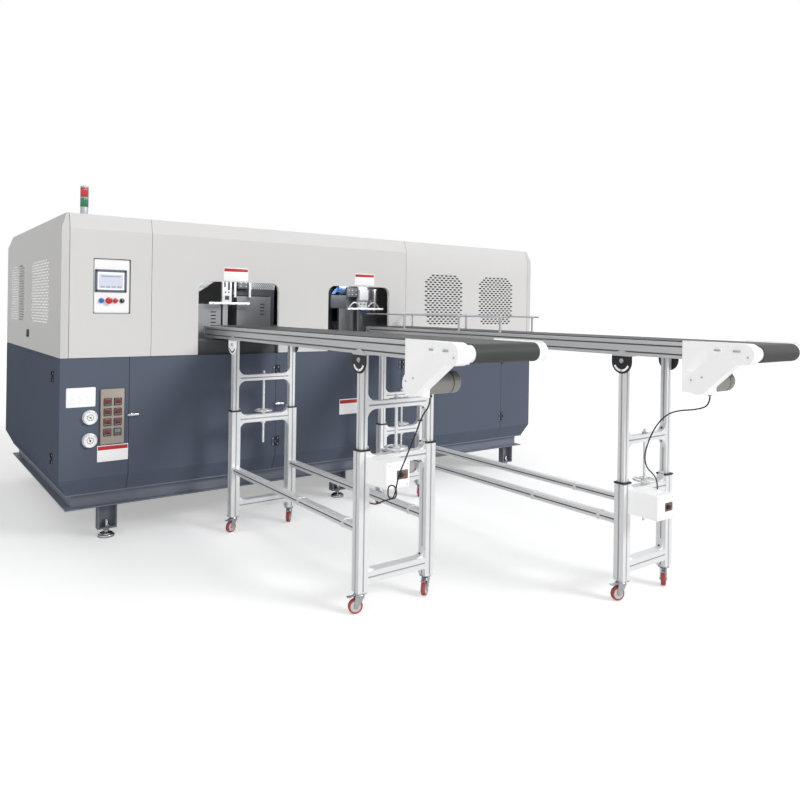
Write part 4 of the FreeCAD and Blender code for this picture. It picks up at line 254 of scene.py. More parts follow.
def swept(path, radius, side, sides=12):
    """A round tube: at each point of the path the ring is radius * (cos a * n + sin a * (t x n)),
    where t is the path's direction and n is side without its share along t."""
    path = np.asarray(path, float)
    tangent = np.gradient(path, axis=0)
    tangent /= np.linalg.norm(tangent, axis=1, keepdims=True)
    normal = side - np.sum(tangent * side, axis=1, keepdims=True) * tangent
    normal /= np.linalg.norm(normal, axis=1, keepdims=True)
    angle = (np.arange(sides) * 2 * np.pi / sides)[None, :, None]
    ring = np.cos(angle) * normal[:, None] + np.sin(angle) * np.cross(tangent, normal)[:, None]
    return skinned(path[:, None] + radius * ring)


def bowed(start, end, rise, steps=16):
    """Points of a bowed line: start + t * (end - start) + sin(pi t) * rise * Z."""
    t = np.linspace(0, 1, steps)[:, None]
    return np.asarray(start) + t * (np.asarray(end, float) - start) + np.sin(np.pi * t) * (rise * Z)


def repeated(shape, places, turns=0.0, plane=(0, 1)):
    """Copies of a shape: each is turned in a plane of two axes, so that (u, v) becomes
    (u cos t - v sin t, u sin t + v cos t), and is then moved to its place."""
    points, faces = shape
    places = np.atleast_2d(np.asarray(places, float))[:, None]
    (u, v), t = points[:, plane].T, np.reshape(turns, (-1, 1))
    copies = np.repeat(points[None], len(places), axis=0)
    copies[..., plane] = np.stack((u * np.cos(t) - v * np.sin(t), u * np.sin(t) + v * np.cos(t)), axis=-1)
    copies += places
    step = len(points)
    return copies.reshape(-1, 3), [[index + number * step for index in face]
                                   for number in range(len(places)) for face in faces]


def joined(shapes):
    """Several shapes as one."""
    points, faces, start = [], [], 0
    for more, polygons in shapes:
        points.append(more)
        faces += [[index + start for index in face] for face in polygons]
        start += len(more)
    return np.vstack(points), faces


def added(name, data):
    """A new object in the scene."""
    thing = bpy.data.objects.new(name, data)
    bpy.context.scene.collection.objects.link(thing)
    return thing


def edited(mesh, change):
    """Runs a bmesh change on a mesh."""
    shell = bmesh.new()
    shell.from_mesh(mesh)
    change(shell)
    shell.to_mesh(mesh)
    shell.free()


def make_piece(name, shapes, finish, body="machine", slot=None, sharp=35.0, closed=True):
    """Joins shapes into one mesh piece that rides on a body."""
    points, faces = joined(shapes)
    mesh = bpy.data.meshes.new(name)
    mesh.from_pydata(metres(points).tolist(), [], faces)
    if closed:
        edited(mesh, lambda shell: bmesh.ops.recalc_face_normals(shell, faces=shell.faces))
    mesh.shade_smooth()
    mesh.set_sharp_from_angle(angle=math.radians(sharp))
    mesh.materials.append(bpy.data.materials["finish_" + finish])
    piece = added(name, mesh)
    if body:
        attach(piece, body)
    return piece


def make_plates(name, finish, y, levels, plates, **where):
    """A piece of front slabs at y: (x, z, width, height, radius)."""
    return make_piece(name, [front_slab(*plate, y, levels) for plate in plates], finish, **where)


def make_studs(name, finish, profile, axis, places, sides=16, **where):
    """A piece of equal turned shapes that start at the places."""
    return make_piece(name, [repeated(turned(profile, ORIGIN, axis, sides), places)], finish, **where)


# ---- materials ---------------------------------------------------------------------------------
def add_node(tree, kind, sockets, **settings):
    """A shader node whose sockets are given values or joined to other nodes."""
    node = tree.nodes.new("ShaderNode" + kind)
    for key, value in settings.items():
        setattr(node, key, value)
    for socket, source in sockets.items():
        if isinstance(source, bpy.types.NodeSocket):
            tree.links.new(source, node.inputs[socket])
        else:
            node.inputs[socket].default_value = source
    return node


def worked_out(tree, operation, *values, **settings):
    """The result of a Math node."""
    return add_node(tree, "Math", dict(enumerate(values)), operation=operation, **settings).outputs[0]


def place_in(tree):
    """Object coordinates."""
    return tree.nodes.new("ShaderNodeTexCoord").outputs["Object"]


def noise_at(tree, place, scale, detail):
    """The values of a noise texture."""
    return add_node(tree, "TexNoise", {"Vector": place, "Scale": scale, "Detail": detail}).outputs[0]


def new_group(name, inputs, outputs):
    """A node group, what it is given and what it results in. Inputs are (label, kind, default)."""
    tree = bpy.data.node_groups.new(name, "ShaderNodeTree")
    for label, kind, value in inputs:
        socket = tree.interface.new_socket(label, in_out="INPUT", socket_type="NodeSocket" + kind)
        socket.default_value = value
    for label, kind in outputs:
        tree.interface.new_socket(label, in_out="OUTPUT", socket_type="NodeSocket" + kind)
    return tree, tree.nodes.new("NodeGroupInput").outputs, tree.nodes.new("NodeGroupOutput").inputs


def surface_grain():
    """Node group: a fine grain, stretched along the axis whose frequency is low, and slow clouds
    that lighten and darken the colour by the unevenness."""
    tree, given, result = new_group(
        "Surface grain",
        [("Colour", "Color", (0.8, 0.8, 0.8, 1)), ("Roughness", "Float", 0.5), ("Unevenness", "Float", 0.1),
         ("Grain", "Vector", (400, 400, 400)), ("Clouds", "Float", 2.0)],
        [("Colour", "Color"), ("Roughness", "Float"), ("Height", "Float")])
    place = place_in(tree)
    stretched = add_node(tree, "VectorMath", {0: place, 1: given["Grain"]}, operation="MULTIPLY")
    fine = noise_at(tree, stretched.outputs[0], 1.0, 2.0)
    slow = noise_at(tree, place, given["Clouds"], 3.0)
    tone = worked_out(tree, "ADD", worked_out(tree, "ADD", fine, slow), -1.0)
    tone = worked_out(tree, "MULTIPLY_ADD", tone, given["Unevenness"], 1.0)
    shade = add_node(tree, "VectorMath", {0: given["Colour"], "Scale": tone}, operation="SCALE").outputs[0]
    rough = worked_out(tree, "MULTIPLY_ADD", fine, 0.16, -0.08)
    rough = worked_out(tree, "ADD", rough, given["Roughness"], use_clamp=True)
    for label, source in (("Colour", shade), ("Roughness", rough), ("Height", fine)):
        tree.links.new(source, result[label])


def floor_dust():
    """Node group: pale dust that is thickest at the floor and fades out at a given height."""
    tree, given, result = new_group(
        "Floor dust",
        [("Colour", "Color", (0.8, 0.8, 0.8, 1)), ("Dust", "Color", (0.5, 0.47, 0.42, 1)),
         ("Amount", "Float", 0.3), ("Height", "Float", 0.4)],
        [("Colour", "Color")])
    place = place_in(tree)
    height = add_node(tree, "SeparateXYZ", {0: place}).outputs["Z"]
    fade = add_node(tree, "MapRange", {"Value": height, "From Min": 0.0, "From Max": given["Height"],
                                       "To Min": 1.0, "To Max": 0.0}, interpolation_type="SMOOTHSTEP")
    thick = worked_out(tree, "MULTIPLY", fade.outputs[0], noise_at(tree, place, 14.0, 5.0))
    mask = worked_out(tree, "MULTIPLY", thick, given["Amount"], use_clamp=True)
    mix = add_node(tree, "Mix", {0: mask, 6: given["Colour"], 7: given["Dust"]}, data_type="RGBA")
    tree.links.new(mix.outputs[2], result["Colour"])


RELIEF = 0.0006     # height of a finish's relief, in metres


def make_finish(name, colour, roughness=0.45, metallic=0.0, uneven=0.07, grain=(380, 380, 380), clouds=1.6,
                bump=0.12, coat=0.0, dust=0.0, glow=0.0, gloss=0.5):
    """A material whose colour, roughness and relief come from the grain group, with dust if asked."""
    material = bpy.data.materials.new("finish_" + name)
    material.use_nodes = True
    tree = material.node_tree
    shader = tree.nodes["Principled BSDF"]
    surface = add_node(tree, "Group", {}, node_tree=bpy.data.node_groups["Surface grain"])
    for socket, value in (("Colour", (*colour, 1)), ("Roughness", roughness), ("Unevenness", uneven),
                          ("Grain", grain), ("Clouds", clouds)):
        surface.inputs[socket].default_value = value
    tone = surface.outputs["Colour"]
    if dust:
        layer = add_node(tree, "Group", {}, node_tree=bpy.data.node_groups["Floor dust"])
        layer.inputs["Amount"].default_value = dust
        tree.links.new(tone, layer.inputs["Colour"])
        tone = layer.outputs["Colour"]
    relief = add_node(tree, "Bump", {"Strength": bump, "Distance": RELIEF,
                                     "Height": surface.outputs["Height"]})
    sources = {"Base Color": tone, "Roughness": surface.outputs["Roughness"], "Normal": relief.outputs[0]}
    if glow:
        sources["Emission Color"] = tone
        shader.inputs["Emission Strength"].default_value = glow
    for socket, source in sources.items():
        tree.links.new(source, shader.inputs[socket])
    for socket, value in (("Metallic", metallic), ("Coat Weight", coat), ("Specular IOR Level", gloss)):
        shader.inputs[socket].default_value = value


# Finishes: colour, or the property that holds it, roughness, metallic, and what else differs.
FINE = {"grain": (900, 900, 900)}
SMOOTH = {"bump": 0.03}
EXTRUDED = {"grain": (300, 60, 300), "uneven": 0.06, "bump": 0.05}
GLASS = {"coat": 0.5, "bump": 0.01}
LENS = {"coat": 0.8, "bump": 0.02}
MAT = {"clouds": 60.0, "bump": 0.6, "gloss": 0.1}
FINISHES = {
    "light_cover": ("light_cover", 0.48, 0, {"uneven": 0.03, "gloss": 0.3}),
    "dark_cover": ("dark_cover", 0.5, 0, {"uneven": 0.10, "dust": 0.12, "gloss": 0.0}),
    "base_paint": ("base_paint", 0.48, 0, {"uneven": 0.12, "dust": 0.35, "gloss": 0.25}),
    "frame_paint": ((72, 74, 78), 0.5, 0, {}),
    "hinge_black": ((26, 26, 28), 0.35, 0, {"bump": 0.2}),
    "handle_chrome": ((214, 215, 218), 0.12, 1, {"grain": (900, 900, 60), "bump": 0.03}),
    "foot_steel": ((186, 188, 192), 0.24, 1, {"grain": (700, 700, 90), "uneven": 0.2, "dust": 0.2}),
    # The panel plate glows a little: painted light that makes it brighter than the casing.
    "panel_white": ((246, 246, 246), 0.4, 0, {"uneven": 0.03, "glow": 0.16}),
    "button_blue": ((24, 104, 196), 0.3, 0, {"coat": 0.6, **SMOOTH}),
    "button_red": ((206, 26, 28), 0.3, 0, {"coat": 0.6, **SMOOTH}),
    "knob_black": ((30, 30, 33), 0.5, 0, FINE),
    "panel_beige": ((176, 166, 156), 0.45, 0, {}),
    "gauge_body": ((240, 241, 243), 0.25, 0.2, {"coat": 0.4, **SMOOTH}),
    "tower_lens": ("red_lens", 0.25, 0, {"glow": 0.12, **LENS}),
    "green_lens": ("green_lens", 0.25, 0, {"glow": 0.1, **LENS}),
    "oven_steel": ((150, 152, 156), 0.4, 0.75, {"grain": (40, 40, 900), "uneven": 0.2}),
    "clamp_paint": ((64, 68, 76), 0.45, 0, {}),
    "mould_aluminium": ((196, 198, 202), 0.3, 1, {"grain": (60, 900, 900), "uneven": 0.2}),
    "carriage_white": ((196, 198, 201), 0.4, 0.2, {}),
    # The gripper bars glow: painted light that brightens them.
    "bar_white": ((246, 247, 248), 0.4, 0, {"glow": 0.25}),
    "unit_steel": ((176, 178, 182), 0.3, 0.9, {"grain": (500, 500, 60), "uneven": 0.15}),
    # A faint glow on the aluminium profiles: painted light.
    "profile_aluminium": ((246, 247, 249), 0.4, 0.3, {"glow": 0.04, "dust": 0.05, **EXTRUDED}),
    "rail_aluminium": ((214, 215, 217), 0.38, 0.5, EXTRUDED),
    # Dark and pale strips laid in the grooves: painted shade.
    "groove_shade": ((96, 97, 99), 0.6, 0, {}),
    "groove_light": ((172, 173, 176), 0.6, 0, {}),
    "belt": ("belt", 0.5, 0,
             {"uneven": 0.16, "grain": (700, 700, 700), "clouds": 3.0, "bump": 0.3, "gloss": 0.25}),
    "drum_steel": ((190, 192, 195), 0.25, 1, {"grain": (30, 900, 900), "uneven": 0.2}),
    # The drive guards glow: painted light that keeps them white where they face away from the key light.
    "guard_white": ("guard_white", 0.4, 0, {"uneven": 0.03, "glow": 0.3}),
    "motor_paint": ((166, 164, 158), 0.42, 0.2, {}),
    "handwheel": ((232, 233, 234), 0.25, 0.5, {}),
    "caster": ("tread", 0.5, 0, {"dust": 0.3}),
    # The control boxes glow like the guards: painted light.
    "box_white": ("guard_white", 0.42, 0, {"uneven": 0.03, "glow": 0.3}),
    "cable_black": ((34, 34, 36), 0.5, 0, FINE),
    "zinc": ((196, 198, 203), 0.28, 0.9, {"uneven": 0.25, "clouds": 40.0, "dust": 0.1}),
    "bezel": ((104, 106, 124), 0.4, 0, {}),
    "screen_border": ((236, 238, 246), 0.15, 0, {"glow": 0.35, **GLASS}),
    "screen_field": ("screen", 0.15, 0, {"glow": 0.22, **GLASS}),
    "screen_shade": ((158, 166, 190), 0.15, 0, {"glow": 0.3, **GLASS}),
    "display_red": ((112, 36, 44), 0.2, 0, {"glow": 0.1, **GLASS}),
    "display_blue": ((116, 126, 146), 0.2, 0, {"glow": 0.15, **GLASS}),
    # The notice fields, blank plate and pointer glow: painted light.
    "field_white": ((248, 248, 248), 0.35, 0, {"uneven": 0.02, "glow": 0.2}),
    "notice_band": ("notice_band", 0.35, 0, {"uneven": 0.04}),
    # The gauge dials glow: painted light.
    "dial_white": ((248, 248, 247), 0.35, 0, {"uneven": 0.02, "coat": 0.7, "glow": 0.16}),
    "dial_grey": ((150, 152, 156), 0.4, 0, {}),
    "pipe_blue": ((60, 120, 196), 0.3, 0, {"coat": 0.4}),
    "switch_brown": ((120, 104, 92), 0.45, 0, {}),
    # Dark patches for recesses, slots, holes and openings: painted shade.
    "vent_dark": ((52, 54, 58), 0.6, 0, {}),
    # The pale end mats glow strongly: painted light.
    "end_mat": ((240, 240, 240), 0.9, 0, {**MAT, "uneven": 0.3, "glow": 0.8}),
    "filter_mat": ((70, 71, 72), 0.9, 0, {**MAT, "uneven": 0.5, "clouds": 90.0}),
}
PAINTED_END_SHADE = 0.92       # how much darker the end and vented side covers are painted, as painted shade


class MOULDER_OT_finishes(bpy.types.Operator):
    """Make every finish, and give each node of the frame the finish of its slot"""
    bl_idname = "moulder.finishes"
    bl_label = "Finishes"

    def execute(self, context):
        colours = context.scene.moulder_colours
        surface_grain()
        floor_dust()
        for name, (colour, roughness, metallic, options) in FINISHES.items():
            tone = getattr(colours, colour) if isinstance(colour, str) else srgb(*colour)
            make_finish(name, tone, roughness, metallic, **options)
        # The end covers get a darker copy of the light cover paint: a painted shade.
        side = [PAINTED_END_SHADE * part for part in colours.light_cover]
        make_finish("painted_shade_cover", side, 0.5, uneven=0.03, gloss=0.2)
        slots = {part["node"]: part["material_slot"] for part in frame["record"]["subparts"]}
        for name, node in frame["nodes"].items():
            finish = bpy.data.materials["finish_" + ("rail_aluminium" if "_bed" in name else slots[name])]
            if node.material_slots:
                node.material_slots[0].material = finish
            else:
                node.data.materials.append(finish)
        return {"FINISHED"}


# ---- cables ------------------------------------------------------------------------------------
def spline_points(name, route):
    """Points along the smooth NURBS curve whose control points are the route's."""
    curve = bpy.data.curves.new(name, "CURVE")
    curve.dimensions = "3D"
    spline = curve.splines.new("NURBS")
    spline.points.add(len(route) - 1)
    spline.points.foreach_set("co", np.hstack((metres(route), np.ones((len(route), 1)))).ravel())
    spline.order_u = 3
    spline.use_endpoint_u = True
    spline.resolution_u = 14
    holder = bpy.data.objects.new(name, curve)
    line = bpy.data.meshes.new_from_object(holder)
    points = np.empty(len(line.vertices) * 3)
    line.vertices.foreach_get("co", points)
    bpy.data.objects.remove(holder)
    bpy.data.curves.remove(curve)
    bpy.data.meshes.remove(line)
    return points.reshape(-1, 3)


class MOULDER_OT_cables(bpy.types.Operator):
    """Lay the cables that hang from the two gearmotors"""
    bl_idname = "moulder.cables"
    bl_label = "Motor cables"

    def execute(self, context):
        radius = context.scene.moulder_sizes.cable_radius
        for which, route in CABLE_ROUTES.items():
            path = spline_points(which + "_route", route)
            tube = swept((path - CORNER) * 1000, radius * 1000, X)
            cable = make_piece(which + "_motor_cable", [tube], "cable_black", body=None)
            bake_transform(cable)
            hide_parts(which + "_cable")
        return {"FINISHED"}


# ---- vented covers -----------------------------------------------------------------------------
SHEET, RETURN = 3.0, 22.0                                   # sheet, and how far its edges fold in
COVER_LOW, CHAMFER_LOW, COVER_TOP, LEAN = 1186.0, 2002.0, 2100.0, 32.0
FOLD_LOW, FOLD_LEAN = CHAMFER_LOW - 3.5, LEAN + 16          # the chamfer along the folded edge
VENT_MIDDLE, VENT_CORNER, VENT_TALL = 1610.0, 92.0, 440.0
FRONT_VENTS, REAR_VENTS, END_VENTS = (3098.0, 3731.0), (1050.0, 3150.0), (722.0, 1680.0)
FRONT_WIDTH, SIDE_WIDTH = 443.0, 680.0
ROOF_STRIP = 60.5                                           # depth of the roof edge, front and rear
FRONT_MAT, SIDE_MAT, MAT_TALL, MAT_CORNER = 470.0, 706.0, 466.0, 90.0
MAT_GAP, END_MAT_GAP = 12.0, 8.6                            # from the outer face to the mats
LEFT_PALE, LEFT_DARK = ((-722, 706), (-1830, 406)), ((-1476, 298),)     # middles and widths
LATCH = (-1162, 1303, 58, 56, 5)                            # plate above the end door


def vent_slots(width, slot, pitch, row_pitch):
    """Slots of a vent, as arrays of rows and first half columns: even and odd rows are staggered,
    and a slot stays if it fits in a rounded square."""
    rows = int(round(VENT_TALL / row_pitch))
    columns = 2 * int(width / pitch / 2) + 1
    number, step = np.meshgrid(np.arange(rows), np.arange(columns), indexing="ij")
    first = 2 * step + number % 2
    along = (first + 1 - columns) * pitch / 2
    above = (number + 0.5 - rows / 2) * row_pitch
    missing = np.clip(VENT_CORNER - (VENT_TALL / 2 - abs(above)), 0, VENT_CORNER)
    half = width / 2 - VENT_CORNER + np.sqrt(VENT_CORNER ** 2 - missing ** 2)
    keep = (abs(along) + slot / 2 <= half) & (first + 2 <= 2 * columns)
    return number[keep], first[keep]


def vented_sheet(plan, inward, strip, vents, sizes):
    """A folded cover: the point of column i and row j is plan i + inset j * inward i at height j.
    Rows climb from the lower fold over the wall and the chamfer on to the roof. Each vent slot
    is a ring of twelve points inside a cell that is two half columns wide."""
    slot, tall, pitch, row_pitch = (1000 * value for value in (sizes.slot_length, sizes.slot_height,
                                                               sizes.slot_pitch, sizes.row_pitch))
    lines = VENT_MIDDLE + (np.arange(int(round(VENT_TALL / row_pitch)) + 1) * row_pitch - VENT_TALL / 2)
    outer = [(0, z) for z in (COVER_LOW, *lines, CHAMFER_LOW)] + [(LEAN, COVER_TOP), (strip, COVER_TOP)]
    inner = [(RETURN, z) for z in (COVER_LOW, *lines, FOLD_LOW)]
    inner += [(min(strip, FOLD_LEAN), COVER_TOP - RETURN), (strip, COVER_TOP - RETURN)]
    levels = np.array([(RETURN, COVER_LOW)] + outer + [(strip, COVER_TOP - RETURN)], float)
    rows, columns = len(levels), len(plan)

    def stand(places, ways, profile):
        """Points of a profile of (inset, height) at every column of a plan."""
        level = places[None] + profile[:, :1, None] * ways[None]
        height = np.broadcast_to(profile[:, 1][:, None, None], (*level.shape[:2], 1))
        return np.concatenate((level, height), axis=-1).reshape(-1, 3)

    points = [stand(plan, inward, levels)]
    numbers = np.arange(rows * columns).reshape(rows, columns)
    keep = np.ones((rows - 1, columns - 1), bool)
    faces, start = [], rows * columns
    for end, order in ((0, 1), (columns - 1, -1)):
        points.append(stand(plan[[end]], inward[[end]], np.array(inner, float)))
        fold, edge = start + np.arange(len(inner)), numbers[1:-1, end]
        faces += np.stack((fold[:-1], edge[:-1], edge[1:], fold[1:]), axis=-1)[:, ::order].tolist()
        start += len(inner)
    t = np.linspace(-np.pi / 2, np.pi / 2, 5)
    arc = np.stack(((slot - tall) / 2 + tall / 2 * np.cos(t), tall / 2 * np.sin(t)), axis=-1)
    ring = np.vstack((arc, (0, tall / 2), -arc, (0, -tall / 2)))
    for column, width in vents:
        number, first = vent_slots(width, slot, pitch, row_pitch)
        low, left = number + 2, first + column
        keep[low, left] = keep[low, left + 1] = False
        middle = numbers[low, left + 1]
        along = plan[column + 1] - plan[column]
        along = np.append(along / np.linalg.norm(along), 0)
        centre = points[0][middle] + Z * row_pitch / 2
        points.append((centre[:, None] + ring[None, :, :1] * along + ring[None, :, 1:] * Z).reshape(-1, 3))
        base = (start + len(ring) * np.arange(len(middle)))[:, None]
        start += len(ring) * len(middle)
        cell = np.stack([numbers[low + up, left + side] for up, side in
                         ((0, 0), (0, 1), (0, 2), (1, 2), (1, 1), (1, 0))], axis=-1)
        for corners, holes in (((0, 1), (11, 10)), ((1, 2), (0, 11)), ((2, 3), (4, 3, 2, 1, 0)),
                               ((3, 4), (5, 4)), ((4, 5), (6, 5)), ((5, 0), (10, 9, 8, 7, 6))):
            faces += np.hstack((cell[:, corners], base + np.array(holes))).tolist()
    grid = np.array(grid_faces(rows, columns, False, False))
    faces += grid[keep.ravel()].tolist()
    return np.vstack(points), faces


def wall_plan(axis, place, way, start, end, middles, width, pitch, reach):
    """Plan of a cover that runs along an axis from start to end, the direction into the casing at
    each point, and the vents as (first half column, width). Covers along Y turn both corners."""
    count = 2 * int(width / pitch / 2) + 1
    half_columns = (np.arange(2 * count + 1) - count) * pitch / 2
    line = np.hstack([middle + half_columns for middle in sorted(middles)])
    forward = 1 if start < end else -1
    run = np.hstack((start, line[::forward], end))
    plan, ways = np.full((len(run), 2), place), np.zeros((len(run), 2))
    plan[:, axis], ways[:, 1 - axis] = run, way
    if axis:
        ways[0, 1], ways[-1, 1] = forward, -forward
        flap = place + way * reach
        plan = np.vstack(((flap, start), plan, (flap, end)))
        ways = np.vstack(((0, forward), ways, (0, -forward)))
    return plan, ways, [(1 + axis + number * len(half_columns), width) for number in range(len(middles))]


class MOULDER_OT_vented_covers(bpy.types.Operator):
    """Fold the four upper covers that have vents of staggered slots"""
    bl_idname = "moulder.vented_covers"
    bl_label = "Vented covers"

    def execute(self, context):
        sizes = context.scene.moulder_sizes
        end, deep, _ = box("right_end_cover")[1]
        strip = box("left_end_cover")[1][0]
        front, rear = box("front_cover_right"), box("rear_cover")
        walls = (
            ("front_cover_right", 0, 0.0, 1, front[0][0], front[1][0], FRONT_VENTS, FRONT_WIDTH, ROOF_STRIP),
            ("rear_cover", 0, deep, -1, rear[1][0], rear[0][0], REAR_VENTS, SIDE_WIDTH, ROOF_STRIP),
            ("left_end_cover", 1, 0.0, 1, deep, 0.0, END_VENTS, SIDE_WIDTH, strip),
            ("right_end_cover", 1, end, -1, 0.0, deep, END_VENTS, SIDE_WIDTH, strip),
        )
        for name, *wall, reach in walls:
            plan, ways, vents = wall_plan(*wall, sizes.slot_pitch * 1000, reach)
            # End covers take the darker copy of the light paint, a painted shade.
            sheet = make_piece(name + "_sheet", [vented_sheet(plan, ways, reach, vents, sizes)],
                               "painted_shade_cover" if "end" in name else "light_cover", closed=False)
            edited(sheet.data, lambda shell: bmesh.ops.remove_doubles(shell, verts=shell.verts, dist=1e-5))
            solid = sheet.modifiers.new("Wall", "SOLIDIFY")
            solid.thickness = SHEET / 1000
            solid.offset = -1.0
            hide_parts(name)

        def mats(places, origin, across):
            """Mats behind the vents of one wall, as (middle, width) along it."""
            return [slab(rounded(middle, VENT_MIDDLE, width, MAT_TALL, MAT_CORNER), soft(5.0, 1.0), origin,
                         across, Z) for middle, width in places]

        # The left end's mats are pale and glow, a painted light, with a dark strip in the rear vent.
        left = ((END_MAT_GAP, 0, 0), -Y)
        make_piece("left_end_filters", mats(LEFT_PALE, *left), "end_mat")
        dark = mats([(middle, FRONT_MAT) for middle in FRONT_VENTS], (0, MAT_GAP, 0), X)
        dark += mats([(-middle, SIDE_MAT) for middle in REAR_VENTS], (0, deep - MAT_GAP, 0), -X)
        dark += mats(LEFT_DARK, *left)
        dark += mats([(middle, SIDE_MAT) for middle in END_VENTS], (end - MAT_GAP, 0, 0), Y)
        make_piece("vent_filters", dark, "filter_mat")
        latch = slab(rounded(*LATCH), soft(11.0, 2.0), ORIGIN, -Y, Z)
        make_piece("left_end_latch", [latch], "hinge_black")
        return {"FINISHED"}


# ---- controls ----------------------------------------------------------------------------------
BUTTONS = {"start_button": 238.0, "emergency_stop": 282.0, "stop_button": 324.0, "selector_knob": 366.0}
BUTTON_Z, PANEL_FACE = 1551.0, 9.0
SCREEN_X, SCREEN_Z = 296.5, 1677.5
GAUGES = [(178.0, 0.0, 807.0), (178.0, 0.0, 661.0)]
UPRIGHT = (2, 0)        # plane of the turns of ticks and needles, clockwise from the top
NOTICES = ((320.5, 568.0, 191, 104), (1150.5, 1753.5, 185, 93), (2256.5, 1757.5, 187, 91),
           (2120.0, 740.0, 172, 120))
TOWER_FOOT = (156.0, 130.0, 2100.0)


class MOULDER_OT_operator_panel(bpy.types.Operator):
    """Fit the screen, the button rings and the caps of the operator panel"""
    bl_idname = "moulder.operator_panel"
    bl_label = "Operator panel"

    def execute(self, context):
        x, z = SCREEN_X, SCREEN_Z
        frame_levels = [(0, 0), (0, 4.6), (1.2, 5.8), (15.4, 5.8), (16.4, 4.6), (16.4, 3.2)]
        make_plates("screen_bezel", "bezel", PANEL_FACE, frame_levels, [(x, z, 197, 147, 5)])
        make_plates("screen_border", "screen_border", 5.8, flat(0.3), [(x, z, 162, 112, 2)])
        make_plates("screen_field", "screen_field", 5.5, flat(0.2), [(x, z - 3, 148, 90, 1)])
        keys = [(x + column * 34, z - 38, 26, 11, 2) for column in (-1.5, -0.5, 0.5, 1.5)]
        make_plates("screen_keys", "screen_shade", 5.3, soft(0.4, 0.2), keys + [(x, z + 30, 120, 10, 2)])
        # A dark rim inside the panel's recess stands for the shade of its walls: painted shade.
        recess = slab(rounded(303, 1644, 229, 353, 2, 3), [(0, 0), (0, 6), (4, 6), (4, 0)],
                      (0, PANEL_FACE, 0), X, Z, closed=True)
        make_piece("panel_recess_shade", [recess], "vent_dark", slot="knob_black")
        ring = turned([(0, 16), (0, 20), (2.4, 20), (3.4, 19), (3.4, 16.6)], (0, PANEL_FACE, BUTTON_Z), -Y,
                      closed=True)
        make_piece("button_rings", [repeated(ring, [(at, 0, 0) for at in BUTTONS.values()])], "gauge_body",
                   slot="handle_chrome")
        cap = [(0, 15.2), (5.2, 15.2), (6.6, 14.2), (7.6, 11.0), (8.0, 6.0), (8.1, 1.0)]
        mushroom = [(0, 21.3), (8, 21.3), (10.6, 20), (12.2, 17), (12.8, 10), (12.9, 1)]
        for name, finish, profile, y in (
                ("start_button", "button_blue", cap, 2.0), ("stop_button", "button_red", cap, 2.0),
                ("emergency_stop", "button_red", mushroom, -5.0)):
            make_studs(name + "_cap", finish, profile, -Y, [(BUTTONS[name], y, BUTTON_Z)], 32, body=name)
        make_plates("selector_pointer", "field_white", -12.0, soft(0.6, 0.2),
                    [(BUTTONS["selector_knob"], BUTTON_Z + 5, 2.4, 12, 1)], body="selector_knob")
        make_studs("panel_screws", "zinc", domed(3.6, 2.0), -Y,
                   [(at, PANEL_FACE, height) for at in (196, 410) for height in (1475, 1813)])
        return {"FINISHED"}


class MOULDER_OT_temperature_controllers(bpy.types.Operator):
    """Fit the temperature controllers into their panel"""
    bl_idname = "moulder.temperature_controllers"
    bl_label = "Temperature controllers"

    def execute(self, context):
        low, high = box("temperature_panel")
        (x, _, z), (width, _, height) = (low + high) / 2, high - low
        make_plates("controller_plate", "panel_beige", 0.0, soft(17.2, 2.0),
                    [(x, z, width + 1, height + 1, 5)])
        spots = [(x + side * 31.5, 0, high[2] - 81 - 65 * step) for step in range(4) for side in (-1, 1)]
        case = front_slab(0, 0, 48, 48, 3, -16.5, [(0, 0), (0, 5.4), (1, 6.2), (4.6, 6.2), (5.2, 5.0)])
        window = front_slab(0, 5, 35, 22, 1, -21.5, soft(0.5, 0.2))
        key = front_slab(0, -13, 5, 4, 1, -21.5, soft(1.0, 0.4))
        keys = [(a + step, 0, b) for a, _, b in spots for step in (-13.5, -4.5, 4.5, 13.5)]
        for name, finish, shape, places in (
                ("controller_cases", "knob_black", case, spots),
                ("controller_displays", "display_red", window, spots[:-1]),
                ("controller_display", "display_blue", window, spots[-1:]),
                ("controller_keys", "panel_beige", key, keys)):
            make_piece(name, [repeated(shape, places)], finish)
        screws = [(a, -17.0, b) for a in (low[0] + 9, high[0] - 9) for b in (low[2] + 9, z, high[2] - 9)]
        make_studs("controller_screws", "zinc", domed(3.4, 1.8), -Y, screws)
        return {"FINISHED"}


